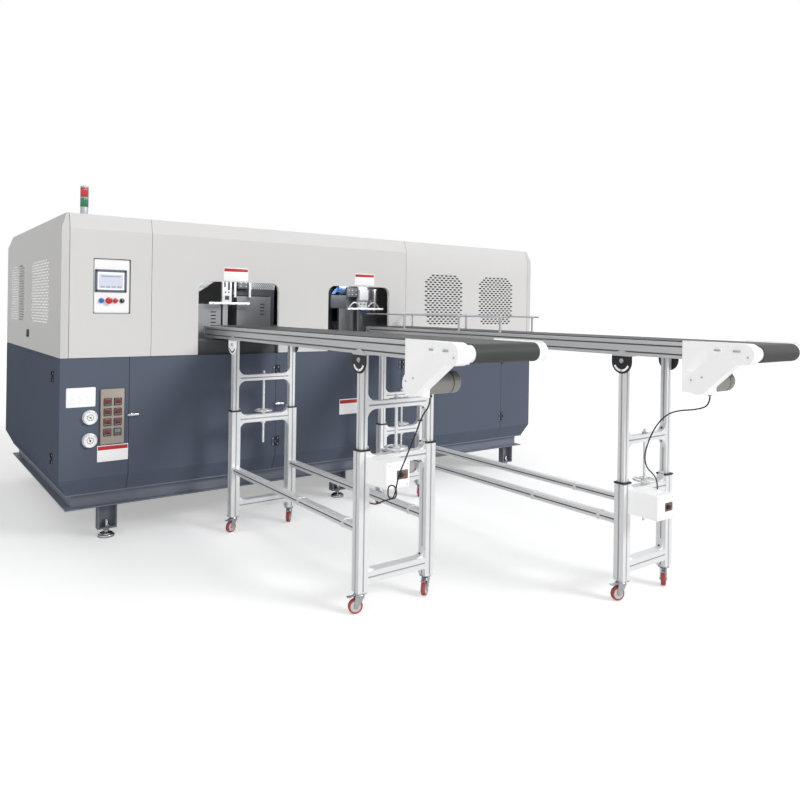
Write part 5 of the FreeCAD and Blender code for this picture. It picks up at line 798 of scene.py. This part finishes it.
class MOULDER_OT_pressure_gauges(bpy.types.Operator):
    """Fit the rims, dials, tick marks and needles of the two pressure gauges"""
    bl_idname = "moulder.pressure_gauges"
    bl_label = "Pressure gauges"

    def execute(self, context):
        rim = [(0, 36.4), (0, 41.4), (20, 41.4), (23, 42.4), (25.2, 41.6), (26, 39.6), (25.4, 37.6),
               (19, 36.4)]
        flange = [(0, 38), (0, 46.4), (4.6, 46.4), (6.4, 44.8), (6.4, 38)]
        rings = [repeated(turned(profile, ORIGIN, -Y, 48, closed=True), GAUGES) for profile in (rim, flange)]
        make_piece("gauge_rims", rings, "gauge_body")
        disc = turned([(0, 36.6), (0.5, 36.6), (0.7, 30)], (0, -19.1, 0), -Y, 48)
        make_piece("gauge_dials", [repeated(disc, GAUGES)], "dial_white")
        band = turned([(0, 17), (0, 21), (0.4, 21), (0.4, 17)], (0, -19.8, 0), -Y, 40, closed=True)
        tick = front_slab(0, 30, 1.1, 6.5, 0.3, -19.6, flat(0.4))
        ticks = repeated(tick, np.zeros((21, 3)), np.radians(np.linspace(-135, 135, 21)), UPRIGHT)
        make_piece("gauge_marks", [repeated(band, GAUGES), repeated(ticks, GAUGES)], "dial_grey")
        needle = slab([(-1.8, -9), (1.8, -9), (0.5, 29), (-0.5, 29)], flat(0.8), (0, -20.4, 0), X, Z)
        hub = turned(domed(5.0, 2.4), (0, -20.2, 0), -Y, 24)
        needles = repeated(needle, GAUGES, np.radians((-62.0, -20.0)), UPRIGHT)
        make_piece("gauge_needles", [needles, repeated(hub, GAUGES)], "knob_black")
        return {"FINISHED"}


class MOULDER_OT_notice_fields(bpy.types.Operator):
    """Fix the plain plate and the bare notice fields on the covers"""
    bl_idname = "moulder.notice_fields"
    bl_label = "Plates and fields"

    def execute(self, context):
        make_plates("blank_plate", "field_white", 0.0, soft(2.0, 0.8), [(123.5, 937, 173, 122, 5)])
        marks = [(78 + 46 * step, 926, 34, 52, 3) for step in range(3)]
        make_plates("blank_plate_fields", "panel_white", -2.0, soft(0.5, 0.2), marks)
        make_plates("notice_fields", "field_white", 0.0, soft(1.0, 0.4), [(*notice, 3) for notice in NOTICES])
        bands = [(x, z + h / 2 - 0.17 * h, w - 6, 0.24 * h, 2) for x, z, w, h in NOTICES]
        make_plates("notice_bands", "notice_band", -1.0, soft(0.3, 0.1), bands)
        return {"FINISHED"}


class MOULDER_OT_signal_tower(bpy.types.Operator):
    """Stack the signal tower: base, two ribbed lenses, rings and cap"""
    bl_idname = "moulder.signal_tower"
    bl_label = "Signal tower"

    def execute(self, context):
        def stack(*profiles, **more):
            """Turned parts that stand on the tower's foot."""
            return [turned(profile, TOWER_FOOT, Z, **more) for profile in profiles]

        base = stack([(0, 27), (8, 27), (10, 26), (11, 24), (53, 24), (55, 23)],
                     [(112.5, 23.2), (113, 24.6), (117.5, 24.6), (118, 23.2)],
                     [(176, 24.4), (177, 25), (186, 25), (190, 23.4), (191.6, 19), (192, 2)])
        rings = stack([(2, 27.4), (7, 27.4), (7.4, 26)],
                      [(173.5, 24.4), (173.5, 25.3), (177, 25.3), (177, 24.4)], closed=True)
        lens = np.array([(0, 23.6), (2, 24.4), (29, 24.4), (56, 24.4), (58, 23.6)])
        green, red = (stack(lens + (low, 0), ribs=36, rib_depth=0.5, sides=144) for low in (55, 118))
        pieces = [make_piece("tower_base", base, "carriage_white", slot="knob_black"),
                  make_piece("tower_rings", rings, "switch_brown", slot="knob_black"),
                  make_piece("green_lens", green, "green_lens", sharp=50),
                  make_piece("red_lens", red, "tower_lens", sharp=50)]
        for piece in pieces:
            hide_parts("signal_tower")
        return {"FINISHED"}


# ---- door fittings -----------------------------------------------------------------------------
SEAMS = (418.0, 1477.0, 2642.0, 3815.0)
HINGE_HEIGHTS = (528.0, 1056.0)
LEAF_HALF, LEAF_FACE = 18.5, -3.0
END_SEAM = 222.0
LEVER_Z, LEVER_FROM_SEAM = 806.0, 17.0


class MOULDER_OT_door_fittings(bpy.types.Operator):
    """Fit the hinge screws and the swing levers of the doors"""
    bl_idname = "moulder.door_fittings"
    bl_label = "Door fittings"

    def execute(self, context):
        rows = [("end_door_leaf_screws", END_SEAM + LEAF_HALF, X, "end_door"),
                ("end_fixed_leaf_screws", END_SEAM - LEAF_HALF, X, "machine")]
        for number, seam in reversed(list(enumerate(SEAMS[1:], 1))):
            rows[:0] = [("door_%d_leaf_screws" % number, seam - LEAF_HALF, Y, "door_%d" % number),
                        ("fixed_leaf_screws_%d" % number, seam + LEAF_HALF, Y, "machine")]
        profile = domed(context.scene.moulder_sizes.screw_radius * 1000, 2.0, 0.6)
        for name, along, inward, body in rows:
            places = [(X + Y - inward) * along + LEAF_FACE * inward + (height + step) * Z
                      for height in HINGE_HEIGHTS for step in (-21.0, 21.0)]
            make_studs(name, "zinc", profile, -inward, places, body=body)
        for number, seam in enumerate(SEAMS[:3], 1):
            pivot = seam + LEVER_FROM_SEAM
            rose = turned([(0.3, 12.4), (6.4, 12.4), (8, 11), (8.2, 8.2), (14, 7.4)], (pivot, 0, LEVER_Z), -Y)
            levels = [(1, 0), (0, 1)] + soft(8.4, 3.0, 4)[1:]
            lever = front_slab(pivot + 7, LEVER_Z, 76, 14, 6.5, -13.6, levels)
            lock = turned([(0, 5.0), (0.7, 5.0), (0.9, 4.2)], (pivot, -21.9, LEVER_Z), -Y, 24)
            piece = make_piece("door_lever_%d" % number, [rose, lever, lock], "handle_chrome",
                               body="handle_%d" % number)
            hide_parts("door_handle_%d" % number)
        return {"FINISHED"}


# ---- what the windows show ----------------------------------------------------------------------
GRIPPER_BARS = ((1073, 1395, 1548), (2293, 2657, 1520))     # ends and height of each bar
GRIPPER_SHARES = (0.1, 0.3, 0.5, 0.7, 0.9)                  # places of the heads along a bar
BAR_FACE = 306.0
HEAT_SLOTS = ((1124, 1541), (1526, 1605))                   # x, and the plate's top
HOLED_PLATES = ([(985, 1625), (1040, 1640), (1160, 1722), (985, 1722)],
                [(1400, 1662), (1650, 1662), (1650, 1722), (1400, 1722)])
COLUMN_OPENINGS = ((1200, 1700, 14, 60, 3), (1232, 1690, 18, 84, 3), (1206, 1632, 12, 12, 3),
                   (1230, 1632, 12, 12, 3), (1218, 1590, 34, 30, 3), (2432, 1560, 12, 12, 3),
                   (2470, 1560, 12, 12, 3))
VALVE_BLOCKS = (((1304, 314, 1662), (1390, 342, 1724), 3), ((2131, 314, 1522), (2286, 342, 1634), 4),
                ((2290, 322, 1617), (2404, 342, 1702), 3))


class MOULDER_OT_window_machinery(bpy.types.Operator):
    """Fit the plates, valves, cylinders and air pipes behind the two windows"""
    bl_idname = "moulder.window_machinery"
    bl_label = "Window machinery"

    def execute(self, context):
        riding = {"body": "transfer_carriage"}
        pale = {"slot": "carriage_white"}
        on_carriage = {**riding, **pale}
        # Dark strips in the heat slots: painted shade.
        slot_shade = front_slab(0, 0, 39, 7, 3, 361.0, soft(1.2, 0.5))
        spots = [(x, 0, top - 60 - 26 * step) for x, top in HEAT_SLOTS for step in range(4)]
        make_piece("heat_slot_shade", [repeated(slot_shade, spots)], "vent_dark")
        holed = [slab(outline, soft(3.0, 1.0), (0, 395, 0), X, Z) for outline in HOLED_PLATES]
        make_piece("holed_plates", holed, "carriage_white")
        # Dark discs stand for the holes of the plates: painted shade.
        holes = [(x + 9 * (line % 2), 391.8, z) for line, z in enumerate(range(1668, 1722, 11))
                 for x in (*range(1000, 1150 - max(0, 1722 - z), 18), *range(1410, 1640, 18))]
        make_studs("plate_hole_shade", "vent_dark", [(0, 5.0), (0.5, 4.6)], -Y, holes, 10)
        tube = [(0, 12), (2, 13.4), (8, 13.4), (9, 10), (118, 10), (119, 13.4), (126, 13.4), (128, 12)]
        cylinders = [(x, 328, 1594) for x in (1286, 1408)]
        make_studs("lift_cylinders", "handwheel", tube, Z, cylinders, 24, **on_carriage)
        make_piece("valve_blocks", [brick(*block) for block in VALVE_BLOCKS], "clamp_paint", **riding)
        ports = [(x, 314.5, z) for x in (1326, 1368) for z in (1680, 1706)]
        ports += [(x, 322.5, z) for x in (2310, 2347, 2384) for z in (1640, 1678)]
        make_studs("valve_ports", "handwheel", [(0, 5), (5, 5), (7, 3)], -Y, ports, 12, **on_carriage)
        runs = [bowed((2140 + 9 * n, 316 + 7 * n, 1640), (2268 - 5 * n, 316 + 7 * n, 1660 - 4 * n),
                      48 - 9 * n) for n in range(4)]
        runs += [bowed((2412 + 12 * n, 312, 1512), (2520 - 8 * n, 312, 1512), 3 * n - 10) for n in range(3)]
        make_piece("air_pipes", [swept(run, 3.6, Y, 10) for run in runs], "pipe_blue", **riding)
        hoses = [bowed((start, BAR_FACE, 1532), (end, BAR_FACE, 1532), 42)
                 for start, end in ((2307, 2420), (2496, 2612))]
        make_piece("clear_pipes", [swept(run, 4.2, Y, 10) for run in hoses], "handwheel", **on_carriage)
        gripper = turned([(0, 9), (14, 9), (16, 7), (26, 7)], ORIGIN, -Y, 16)
        spots = [(low + (high - low) * share, BAR_FACE, z) for low, high, z in GRIPPER_BARS
                 for share in GRIPPER_SHARES]
        strips = [front_slab((low + high) / 2, z, high - low + 4, 15, 3, 304.5, soft(3.0, 1.0))
                  for low, high, z in GRIPPER_BARS]
        make_piece("gripper_heads", [repeated(gripper, spots)] + strips, "bar_white", **riding)
        # Dark patches where the column has openings: painted shade.
        make_plates("column_opening_shade", "vent_dark", 318.5, soft(1.0, 0.4), COLUMN_OPENINGS, **riding)
        make_studs("carriage_dot", "green_lens", domed(7, 3), -Y, [(1168, BAR_FACE, 1560)], 20, **riding)
        make_studs("valve_cylinder_head", "handwheel", domed(24.6, 12, 0.8), Z, [(2618, 380, 1684)], 32,
                   **pale)
        return {"FINISHED"}


# ---- conveyors ---------------------------------------------------------------------------------
SCALE_RADII, SCALE_HALF_ANGLE = (40, 51), 1.15
GUIDE_POSTS = ((2270, (-525, -1145, -1540)), (2654, (-127, -792, -1457)))
GUIDE_TOP = 1489.0


def pivot_outline(grow):
    """Outline of a bracket, straight above and round below: centre + (61 + grow) * (cos t, sin t)."""
    radius = 61.0 + grow
    t = np.linspace(np.pi, 2 * np.pi, 25)
    low = np.stack((radius * np.cos(t), PIVOT_Z + radius * np.sin(t)), axis=-1)
    return np.vstack((low, (radius, 1292.6), (-radius, 1292.6)))


def arc_band(inner, outer, half_angle, steps=14):
    """Outline of a band between two arcs about the straight down direction."""
    t = np.linspace(-half_angle, half_angle, steps) - np.pi / 2
    ring = np.stack((np.cos(t), np.sin(t)), axis=-1)
    return np.vstack((ring * outer, ring[::-1] * inner)) + (0, PIVOT_Z)


def pivots(which, posts, frames):
    """The pivot plates, their scales and bolts, as shapes of dark, pale and bolt finish. The rear
    left plate of the first conveyor is pale and has a dark scale."""
    dark, pale, bolts = [], [], []
    for x, sign in zip(posts, (-1, 1)):
        face = x + sign * UPPER_HALF
        for y in frames:
            sides = ((face, y, 0), Y * sign, Z)
            plate = slab(pivot_outline(0.6), [(0, -0.4), (0, 4.8), (1.2, 6.0)], *sides)
            band = slab(arc_band(*SCALE_RADII, SCALE_HALF_ANGLE), [(0, 5.8), (0, 6.4), (0.6, 6.8)], *sides)
            swapped = which == "first" and sign < 0 and y == frames[0]
            dark.append(band if swapped else plate)
            pale.append(plate if swapped else band)
            for profile, height, facets in (([(5, 13), (7, 13), (7.6, 12.4)], 1267, 24),
                                            ([(7, 9.4), (12.4, 9.4), (13.4, 8.2)], 1267, 6),
                                            ([(6, 6), (9, 6), (10, 4)], 1214, 16)):
                bolts.append(turned(profile, (face, y, height), X * sign, facets))
    return dark, pale, bolts


class MOULDER_OT_conveyor_fittings(bpy.types.Operator):
    """Fit the pivot brackets, collars, lifting threads, screws and caps of the conveyors"""
    bl_idname = "moulder.conveyor_fittings"
    bl_label = "Conveyor fittings"

    def execute(self, context):
        for which, plan in CONVEYORS.items():
            (left, right), frames, collar_z = plan["posts"], plan["frames"], plan["collar"]
            lift = which + "_lift"
            dark, pale, bolts = pivots(which, plan["posts"], frames)
            make_piece(which + "_pivot_brackets", dark, "hinge_black", body=lift)
            make_piece(which + "_pivot_scales", pale, "guard_white", body=lift)
            head = [(0, 6.4), (4, 6.4), (5.2, 5.4), (5.2, 3), (3.4, 2.8)]
            bolts += [turned(head, (face, plan["rail_end"] + 30, RAIL_TOP - drop), way, 16)
                      for face, way in ((left - UPPER_HALF, -X), (right + UPPER_HALF, X))
                      for drop in (12, 68)]
            make_piece(which + "_lift_bolts", bolts, "zinc", body=lift)
            head = [(0, 5.4), (3, 5.4), (3.6, 4.6), (3.6, 2.8), (1.6, 2.6)]
            joints = ((collar_z + UPPER_BAR, UPPER_HALF, UPPER_BAR_HALF, (-1, 1)),
                      (collar_z + LOWER_BAR, LOWER_HALF, LOWER_BAR_HALF, (-1,)),
                      (LOW_BAR_Z, LOWER_HALF, LOW_BAR_HALF, (1,)))
            for number, (z, inner, bar, ways) in enumerate(joints):
                shapes = [turned(head, (x + sign * 15.5, y, z + way * (bar + 15.5)), (sign, 0, way), 14)
                          for y in frames for x, sign in ((left + inner, 1), (right - inner, -1))
                          for way in ways]
                make_piece(which + "_bracket_screws_%d" % number, shapes, "hinge_black",
                           body="machine" if number else lift)
            levels = [(0, -0.6), (0, 7.2), (0.8, 8.0), (13.0, 8.0), (13.2, -0.6)]
            collar = slab(rounded(0, 0, 67.2, 67.2, 3), levels, (0, 0, collar_z - 7), X, Y, closed=True)
            corners = [(x, y, 0) for x in (left, right) for y in frames]
            make_piece(which + "_collars", [repeated(collar, corners)], "knob_black")
            low, high = collar_z - 236, collar_z + 262
            count = int((high - low) / 2)
            steps = np.arange(count + 1)
            thread = np.column_stack((steps * (high - low) / count, 7.6 + 0.7 * (steps % 2)))
            nut = turned([(0, 14.4), (1, 15.4), (9.4, 15.4), (10.4, 14.2)], (0, 0, collar_z + 238), Z, 6)
            places = [((left + right) / 2, y, 0) for y in frames]
            threads = [repeated(shape, places) for shape in (turned(thread, (0, 0, low), Z, 14), nut)]
            make_piece(which + "_lift_threads", threads, "zinc", body=lift)
        knob = [(-112, 11), (-104, 11), (-102, 7), (-22, 7), (-20, 9), (-2, 9), (0, 8)]
        spots = [(x, y, GUIDE_TOP) for x, ys in GUIDE_POSTS for y in ys]
        make_studs("guide_posts", "zinc", knob, Z, spots, 20, body="second_lift")
        return {"FINISHED"}


GROOVE_HALF, GROOVE_DEEP = 3.7, 3.0


class MOULDER_OT_profile_grooves(bpy.types.Operator):
    """Lay dark strips of painted shade into the grooves of the rails and the posts"""
    bl_idname = "moulder.profile_grooves"
    bl_label = "Profile grooves"

    def execute(self, context):
        def strips(axis, middles, half, span, heights):
            """Strips of painted shade on both sides of level bars: along X or Y over a span, at the heights.
            """
            other, pieces = 1 - axis, []
            for middle in middles:
                for face in (middle - half + GROOVE_DEEP, middle + half - GROOVE_DEEP):
                    for z in heights:
                        low, high = np.zeros(3), np.zeros(3)
                        low[axis], high[axis] = span
                        low[other], high[other] = face - 1, face + 1
                        low[2], high[2] = z - GROOVE_HALF, z + GROOVE_HALF
                        pieces.append(brick(low, high, 0.4))
            return pieces

        for which, plan in CONVEYORS.items():
            posts, frames, collar_z = plan["posts"], plan["frames"], plan["collar"]
            lift = which + "_lift"
            rails = strips(1, posts, UPPER_HALF, (plan["rail_end"] + 50, box(which + "_bed")[1][1] - 60),
                           (RAIL_TOP - 20, RAIL_TOP - 60))
            make_piece(which + "_rail_painted_shade", rails, "groove_shade", body=lift, slot="knob_black")
            uppers, lowers = [], []
            for x in posts:
                for y in frames:
                    for a, b in ((-1, 0), (1, 0), (0, -1), (0, 1)):
                        wide = np.array((0.7 if a else GROOVE_HALF, 0.7 if b else GROOVE_HALF))
                        for half, low, high, depth, pieces in (
                                (UPPER_HALF, collar_z + 1, RAIL_TOP - RAIL_TALL - 4, GROOVE_DEEP, uppers),
                                (LOWER_HALF, POST_TOP + 4, collar_z - 11, 1.2, lowers)):
                            middle = np.array((x + a * (half - depth), y + b * (half - depth)))
                            pieces.append(brick((*(middle - wide), low), (*(middle + wide), high), 0.3))
            span = (posts[0] + 32, posts[1] - 32)
            for y in frames:
                uppers += strips(0, (y,), UPPER_BAR_HALF, span, (collar_z + UPPER_BAR,))
                lowers += strips(0, (y,), LOWER_BAR_HALF, span, (collar_z + LOWER_BAR,))
                lowers += strips(0, (y,), LOW_BAR_HALF, span, (LOW_BAR_Z,))
            ties = strips(1, posts, UPPER_HALF, (frames[1] + 32, frames[0] - 32), (TIE_Z,))
            make_piece(which + "_tie_painted_shade", ties, "groove_shade")
            make_piece(which + "_upper_post_painted_shade", uppers, "groove_light", body=lift)
            make_piece(which + "_lower_post_painted_shade", lowers, "groove_light")
        return {"FINISHED"}


LATCH_PARTS = ((0, (34, 12, 4), soft(5.4, 1.6)), (4, (14, 6, 2), soft(8.4, 1.2)))


class MOULDER_OT_drive_fittings(bpy.types.Operator):
    """Fit the guard's latches and screws, the gearmotor's rings and the control boxes' switches"""
    bl_idname = "moulder.drive_fittings"
    bl_label = "Drive fittings"

    def execute(self, context):
        for which, plan in CONVEYORS.items():
            riding = {"body": which + "_lift"}
            left, drum_y = plan["posts"][0], plan["drum"]
            motor_y = plan["rail_end"] - 20
            face, end = left - 85.0, left + 174.0
            latches = [slab(rounded(-y - shift, LATCH_Z, *size), levels, (face, 0, 0), -Y, Z)
                       for y in (drum_y + 120, drum_y + 30) for shift, size, levels in LATCH_PARTS]
            make_piece(which + "_guard_latches", latches, "zinc", **riding)
            screws = [(face, motor_y + 30, MOTOR_Z + 12), (face, motor_y - 24, MOTOR_Z + 30),
                      (face, drum_y - 20, 1330)]
            make_studs(which + "_guard_screws", "zinc", domed(5.2, 2.6), -X, screws, **riding)
            band = turned([(0, 47.2), (0, 50.3), (4.8, 50.3), (4.8, 47.2)], (end - 47.9, motor_y, MOTOR_Z), X,
                          48, closed=True)
            gland = turned([(0, 9.6), (3, 9.6), (4, 10.6), (12, 10.6), (13, 8), (17.5, 7)],
                           (left + 30, motor_y, MOTOR_Z - 49.5), -Z, 6)
            make_piece(which + "_motor_ring", [band, gland], "knob_black", **riding)
            bolts = [(end - 0.4, motor_y + 34 * math.cos(a), MOTOR_Z + 34 * math.sin(a))
                     for a in np.arange(6) * np.pi / 3]
            make_studs(which + "_motor_bolts", "zinc", domed(3.6, 2.6), X, bolts, 12, **riding)
            lid_x, x, z, front = left + 76, left + 100, plan["collar"] - 99, plan["frames"][1] - 206
            make_plates(which + "_box_lid", "box_white", front, soft(2.4, 1.0), [(lid_x, z, 132, 118, 6)])
            make_plates(which + "_switch_plate", "switch_brown", front - 2, soft(1.6, 0.6),
                        [(x, z, 67, 45, 4)])
            dial = [(0, 14), (2, 14), (3, 10.6), (11, 10.2), (13.4, 8.8), (13.6, 2)]
            make_studs(which + "_switch_knob", "knob_black", dial, -Y, [(x - 10, front - 2, z)], 32)
            make_studs(which + "_switch_lamp", "tower_lens", domed(6.5, 4.5), -Y, [(x + 18, front - 3.4, z)],
                       24)
            corners = [(lid_x + a * 56, front - 2.2, z + b * 49) for a in (-1, 1) for b in (-1, 1)]
            make_studs(which + "_box_screws", "zinc", domed(4.0, 1.8), -Y, corners, 14)
        return {"FINISHED"}


CASTER_TURNS = (200, 230, 160, 215)
CASTER_TRAIL, WHEEL_Z = 22.0, 37.5
FORK_TOP = POST_TOP - 4


class MOULDER_OT_casters(bpy.types.Operator):
    """Build the eight braked casters, each turned its own way"""
    bl_idname = "moulder.casters"
    bl_label = "Casters"

    def execute(self, context):
        places = [(x, y, 0) for plan in CONVEYORS.values() for y in plan["frames"] for x in plan["posts"]]
        turns = np.radians(CASTER_TURNS * len(CONVEYORS))
        plate = slab(rounded(0, 0, 62, 62, 5), soft(4.0, 1.0), (0, 0, FORK_TOP), X, Y)
        race = turned([(0, 22), (1, 24), (5, 24.4), (6, 22.6), (10, 24.6), (12, 20)], (0, 0, FORK_TOP), -Z,
                      36)
        bolts = repeated(turned([(0, 5), (4, 5), (5, 4)], (0, 0, FORK_TOP), -Z, 6),
                         [(a, b, 0) for a in (-23, 23) for b in (-23, 23)])
        cheek = [(-20, 94), (-22, 84), (13, 28), (24, 26), (31, 34), (30, 60), (24, 94)]
        wall = np.array([(0.6, 15), (0, 15.6), (0, 17.6), (0.6, 18.2)])
        cheeks = [slab(cheek, levels, ORIGIN, X, Z) for levels in (wall, wall[::-1] * (1, -1))]
        bridge = slab(rounded(2, 0, 44, 36, 4), [(1, 0), (0, 1), (0, 3), (1, 4)], (0, 0, 92), X, Y)
        wheel = ((CASTER_TRAIL, 0, WHEEL_Z), Y)
        axle = turned([(-21, 6), (-20, 7), (-18, 7), (-18, 5), (18, 5), (18, 7), (20, 7), (21, 6)], *wheel, 6)
        tread = turned([(-12.4, 27), (-13, 30), (-12.2, 34.5), (-9, 37), (0, 37.5), (9, 37), (12.2, 34.5),
                        (13, 30), (12.4, 27)], *wheel, 48, closed=True)
        hub = turned([(-12, 8), (-12.6, 26), (-11.8, 27.4), (11.8, 27.4), (12.6, 26), (12, 8)], *wheel, 40)
        t = np.linspace(0, 1, 9)
        path = np.column_stack((20 + 46 * t, POST_TOP - 12 - 12 * t - 6 * np.sin(np.pi * t)))
        pedal = slab(np.vstack((path, path[::-1] + (0, 4.5))), [(0.8, -12), (0, -11), (0, 11), (0.8, 12)],
                     ORIGIN, X, Z)
        for name, shapes, finish in (("forks", [plate, race, bolts, bridge, axle] + cheeks, "zinc"),
                                     ("treads", [tread], "caster"), ("hubs", [hub], "handwheel"),
                                     ("pedals", [pedal], "zinc")):
            piece = make_piece("caster_" + name, [repeated(shape, places, turns) for shape in shapes], finish)
            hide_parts("casters")
        return {"FINISHED"}


FOOT_X, FOOT_FROM_RIGHT, FOOT_Y = (315, 2095), 196, 112


class MOULDER_OT_levelling_feet(bpy.types.Operator):
    """Build the six levelling feet: pad, threaded bolt and two nuts"""
    bl_idname = "moulder.levelling_feet"
    bl_label = "Levelling feet"

    def execute(self, context):
        right, rear, _ = box("base_frame")[1] + BASE_INSET
        places = [(x, y, 0) for x in (*FOOT_X, right - FOOT_FROM_RIGHT) for y in (FOOT_Y, rear - FOOT_Y)]
        pad = turned([(0, 50), (1.5, 52), (13, 52), (16, 50.5), (19, 44), (25, 40), (26, 20), (30, 15)],
                     ORIGIN, Z, 48)
        steps = np.arange(41)
        bolt = turned(np.column_stack((26 + steps * 2.1, 11.2 + 0.8 * (steps % 2))), ORIGIN, Z, 18)
        nut = turned([(0, 19.5), (1.6, 21), (14.4, 21), (16, 19.5)], ORIGIN, Z, 6)
        feet = [repeated(shape, places) for shape in (pad, bolt, repeated(nut, [(0, 0, 40), (0, 0, 64)]))]
        piece = make_piece("machine_feet", feet, "foot_steel")
        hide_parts("levelling_feet")
        return {"FINISHED"}


# ---- stage -------------------------------------------------------------------------------------
SUNS = (("key", (0.45, -0.80, 0.50), 1.45, 20), ("fill", (-0.6, -0.6, 0.5), 0.12, 40))
INNER_LAMPS = (("left_inner_lamp", (1240, 60, 1770)), ("right_inner_lamp", (2300, 60, 1770)))
INNER_SIZE, INNER_POWER, INNER_TILT = (0.7, 0.12), 2.4, 52
FLOOR_REACH, FLOOR_STEPS, FLOOR_GLOW = 60.0, 9, 0.40
WORLD_LIGHT, WORLD_SEEN = 0.46, 1.0
CAMERA_PLACE, CAMERA_YAW, CAMERA_ROLL = (-915.1, -4762.2, 1524.4), 0.6383, 0.0143
CAMERA_LENS = {"sensor_width": 36.0, "lens": 31.72, "shift_y": -0.1139, "clip_end": 300.0}


def seen_by(tree, *kinds):
    """A mask that is 1 for the named kinds of rays."""
    path = tree.nodes.new("ShaderNodeLightPath")
    total = path.outputs[kinds[0]]
    for kind in kinds[1:]:
        total = worked_out(tree, "MAXIMUM", total, path.outputs[kind])
    return total


def aimed(thing, right, up, back, place=ORIGIN):
    """Turns an object so that its axes lie along three directions, and moves it to a place in metres."""
    turn = Matrix(np.column_stack((right, up, back)).tolist()).to_4x4()
    thing.matrix_world = Matrix.Translation(place) @ turn


class MOULDER_OT_stage(bpy.types.Operator):
    """Set up the floor, the light and the camera"""
    bl_idname = "moulder.stage"
    bl_label = "Stage"

    def execute(self, context):
        scene = context.scene
        scene.view_settings.view_transform = "Standard"
        finish = bpy.data.materials.new("floor")
        finish.use_nodes = True
        tree = finish.node_tree
        shader = tree.nodes["Principled BSDF"]
        noise = noise_at(tree, place_in(tree), 3.0, 4.0)
        tone = add_node(tree, "MapRange", {"Value": noise, "To Min": 0.93, "To Max": 0.96})
        tree.links.new(tone.outputs[0], shader.inputs["Base Color"])
        for socket, value in (("Roughness", 0.9), ("Specular IOR Level", 0.1),
                              ("Emission Color", (1, 1, 1, 1))):
            shader.inputs[socket].default_value = value
        glow = worked_out(tree, "MULTIPLY", seen_by(tree, "Is Camera Ray"), FLOOR_GLOW)
        tree.links.new(glow, shader.inputs["Emission Strength"])
        mesh = bpy.data.meshes.new("floor")
        u, v = np.meshgrid(*[np.linspace(-FLOOR_REACH, FLOOR_REACH, FLOOR_STEPS)] * 2)
        mesh.from_pydata(np.stack((u, v, 0 * u - 0.0005), -1).reshape(-1, 3).tolist(), [],
                         grid_faces(FLOOR_STEPS, FLOOR_STEPS, False, False))
        mesh.materials.append(finish)
        floor = added("floor", mesh)

        world = bpy.data.worlds.new("studio")
        world.use_nodes = True
        scene.world = world
        tree = world.node_tree
        back = tree.nodes["Background"]
        back.inputs["Color"].default_value = (1, 1, 1, 1)
        seen = seen_by(tree, "Is Camera Ray", "Is Glossy Ray", "Is Transmission Ray")
        level = add_node(tree, "MapRange", {"Value": seen, "To Min": WORLD_LIGHT, "To Max": WORLD_SEEN})
        tree.links.new(level.outputs[0], back.inputs["Strength"])

        for name, way, strength, width in SUNS:
            lamp = bpy.data.lights.new(name, "SUN")
            lamp.energy = strength
            lamp.angle = math.radians(width)
            out = np.array(way) / np.linalg.norm(way)
            side = np.cross(Z, out)
            side /= np.linalg.norm(side)
            aimed(added(name, lamp), side, np.cross(out, side), out)
        for name, place in INNER_LAMPS:
            lamp = bpy.data.lights.new(name, "AREA")
            lamp.shape = "RECTANGLE"
            lamp.size, lamp.size_y = INNER_SIZE
            lamp.energy = INNER_POWER
            tilt = Matrix.Rotation(math.radians(INNER_TILT), 4, "X")
            added(name, lamp).matrix_world = Matrix.Translation(metres(place).tolist()) @ tilt

        lens = bpy.data.cameras.new("camera")
        for key, value in CAMERA_LENS.items():
            setattr(lens, key, value)
        forward = np.array((math.sin(CAMERA_YAW), math.cos(CAMERA_YAW), 0.0))
        right = np.cross(forward, Z)
        tilted = math.cos(CAMERA_ROLL) * right + math.sin(CAMERA_ROLL) * Z
        upright = -math.sin(CAMERA_ROLL) * right + math.cos(CAMERA_ROLL) * Z
        scene.camera = added("camera", lens)
        aimed(scene.camera, tilted, upright, -forward, metres(CAMERA_PLACE).tolist())
        return {"FINISHED"}


# ---- add-on ------------------------------------------------------------------------------------
PIECES = (
    MOULDER_OT_finishes, MOULDER_OT_stage, MOULDER_OT_cables, MOULDER_OT_vented_covers,
    MOULDER_OT_operator_panel, MOULDER_OT_temperature_controllers, MOULDER_OT_pressure_gauges,
    MOULDER_OT_notice_fields, MOULDER_OT_signal_tower, MOULDER_OT_door_fittings,
    MOULDER_OT_window_machinery, MOULDER_OT_conveyor_fittings, MOULDER_OT_profile_grooves,
    MOULDER_OT_drive_fittings, MOULDER_OT_casters, MOULDER_OT_levelling_feet,
)


class MOULDER_PT_pieces(bpy.types.Panel):
    """Lists the pieces in the order in which they are made"""
    bl_label = "Blow moulding machine"
    bl_space_type = "VIEW_3D"
    bl_region_type = "UI"
    bl_category = "Moulder"

    def draw(self, context):
        for group in (context.scene.moulder_sizes, context.scene.moulder_colours):
            for name in group.__annotations__:
                self.layout.prop(group, name)
        for operator in PIECES:
            self.layout.operator(operator.bl_idname)


CLASSES = (MoulderColours, MoulderSizes, *PIECES, MOULDER_PT_pieces)


def register():
    for each in CLASSES:
        bpy.utils.register_class(each)
    bpy.types.Scene.moulder_colours = bpy.props.PointerProperty(type=MoulderColours)
    bpy.types.Scene.moulder_sizes = bpy.props.PointerProperty(type=MoulderSizes)


def unregister():
    del bpy.types.Scene.moulder_sizes
    del bpy.types.Scene.moulder_colours
    for each in reversed(CLASSES):
        bpy.utils.unregister_class(each)


def main():
    """Makes every piece."""
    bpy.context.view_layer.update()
    register()
    for operator in PIECES:
        group, name = operator.bl_idname.split(".")
        getattr(getattr(bpy.ops, group), name)()


if __name__ == "__main__":
    main()
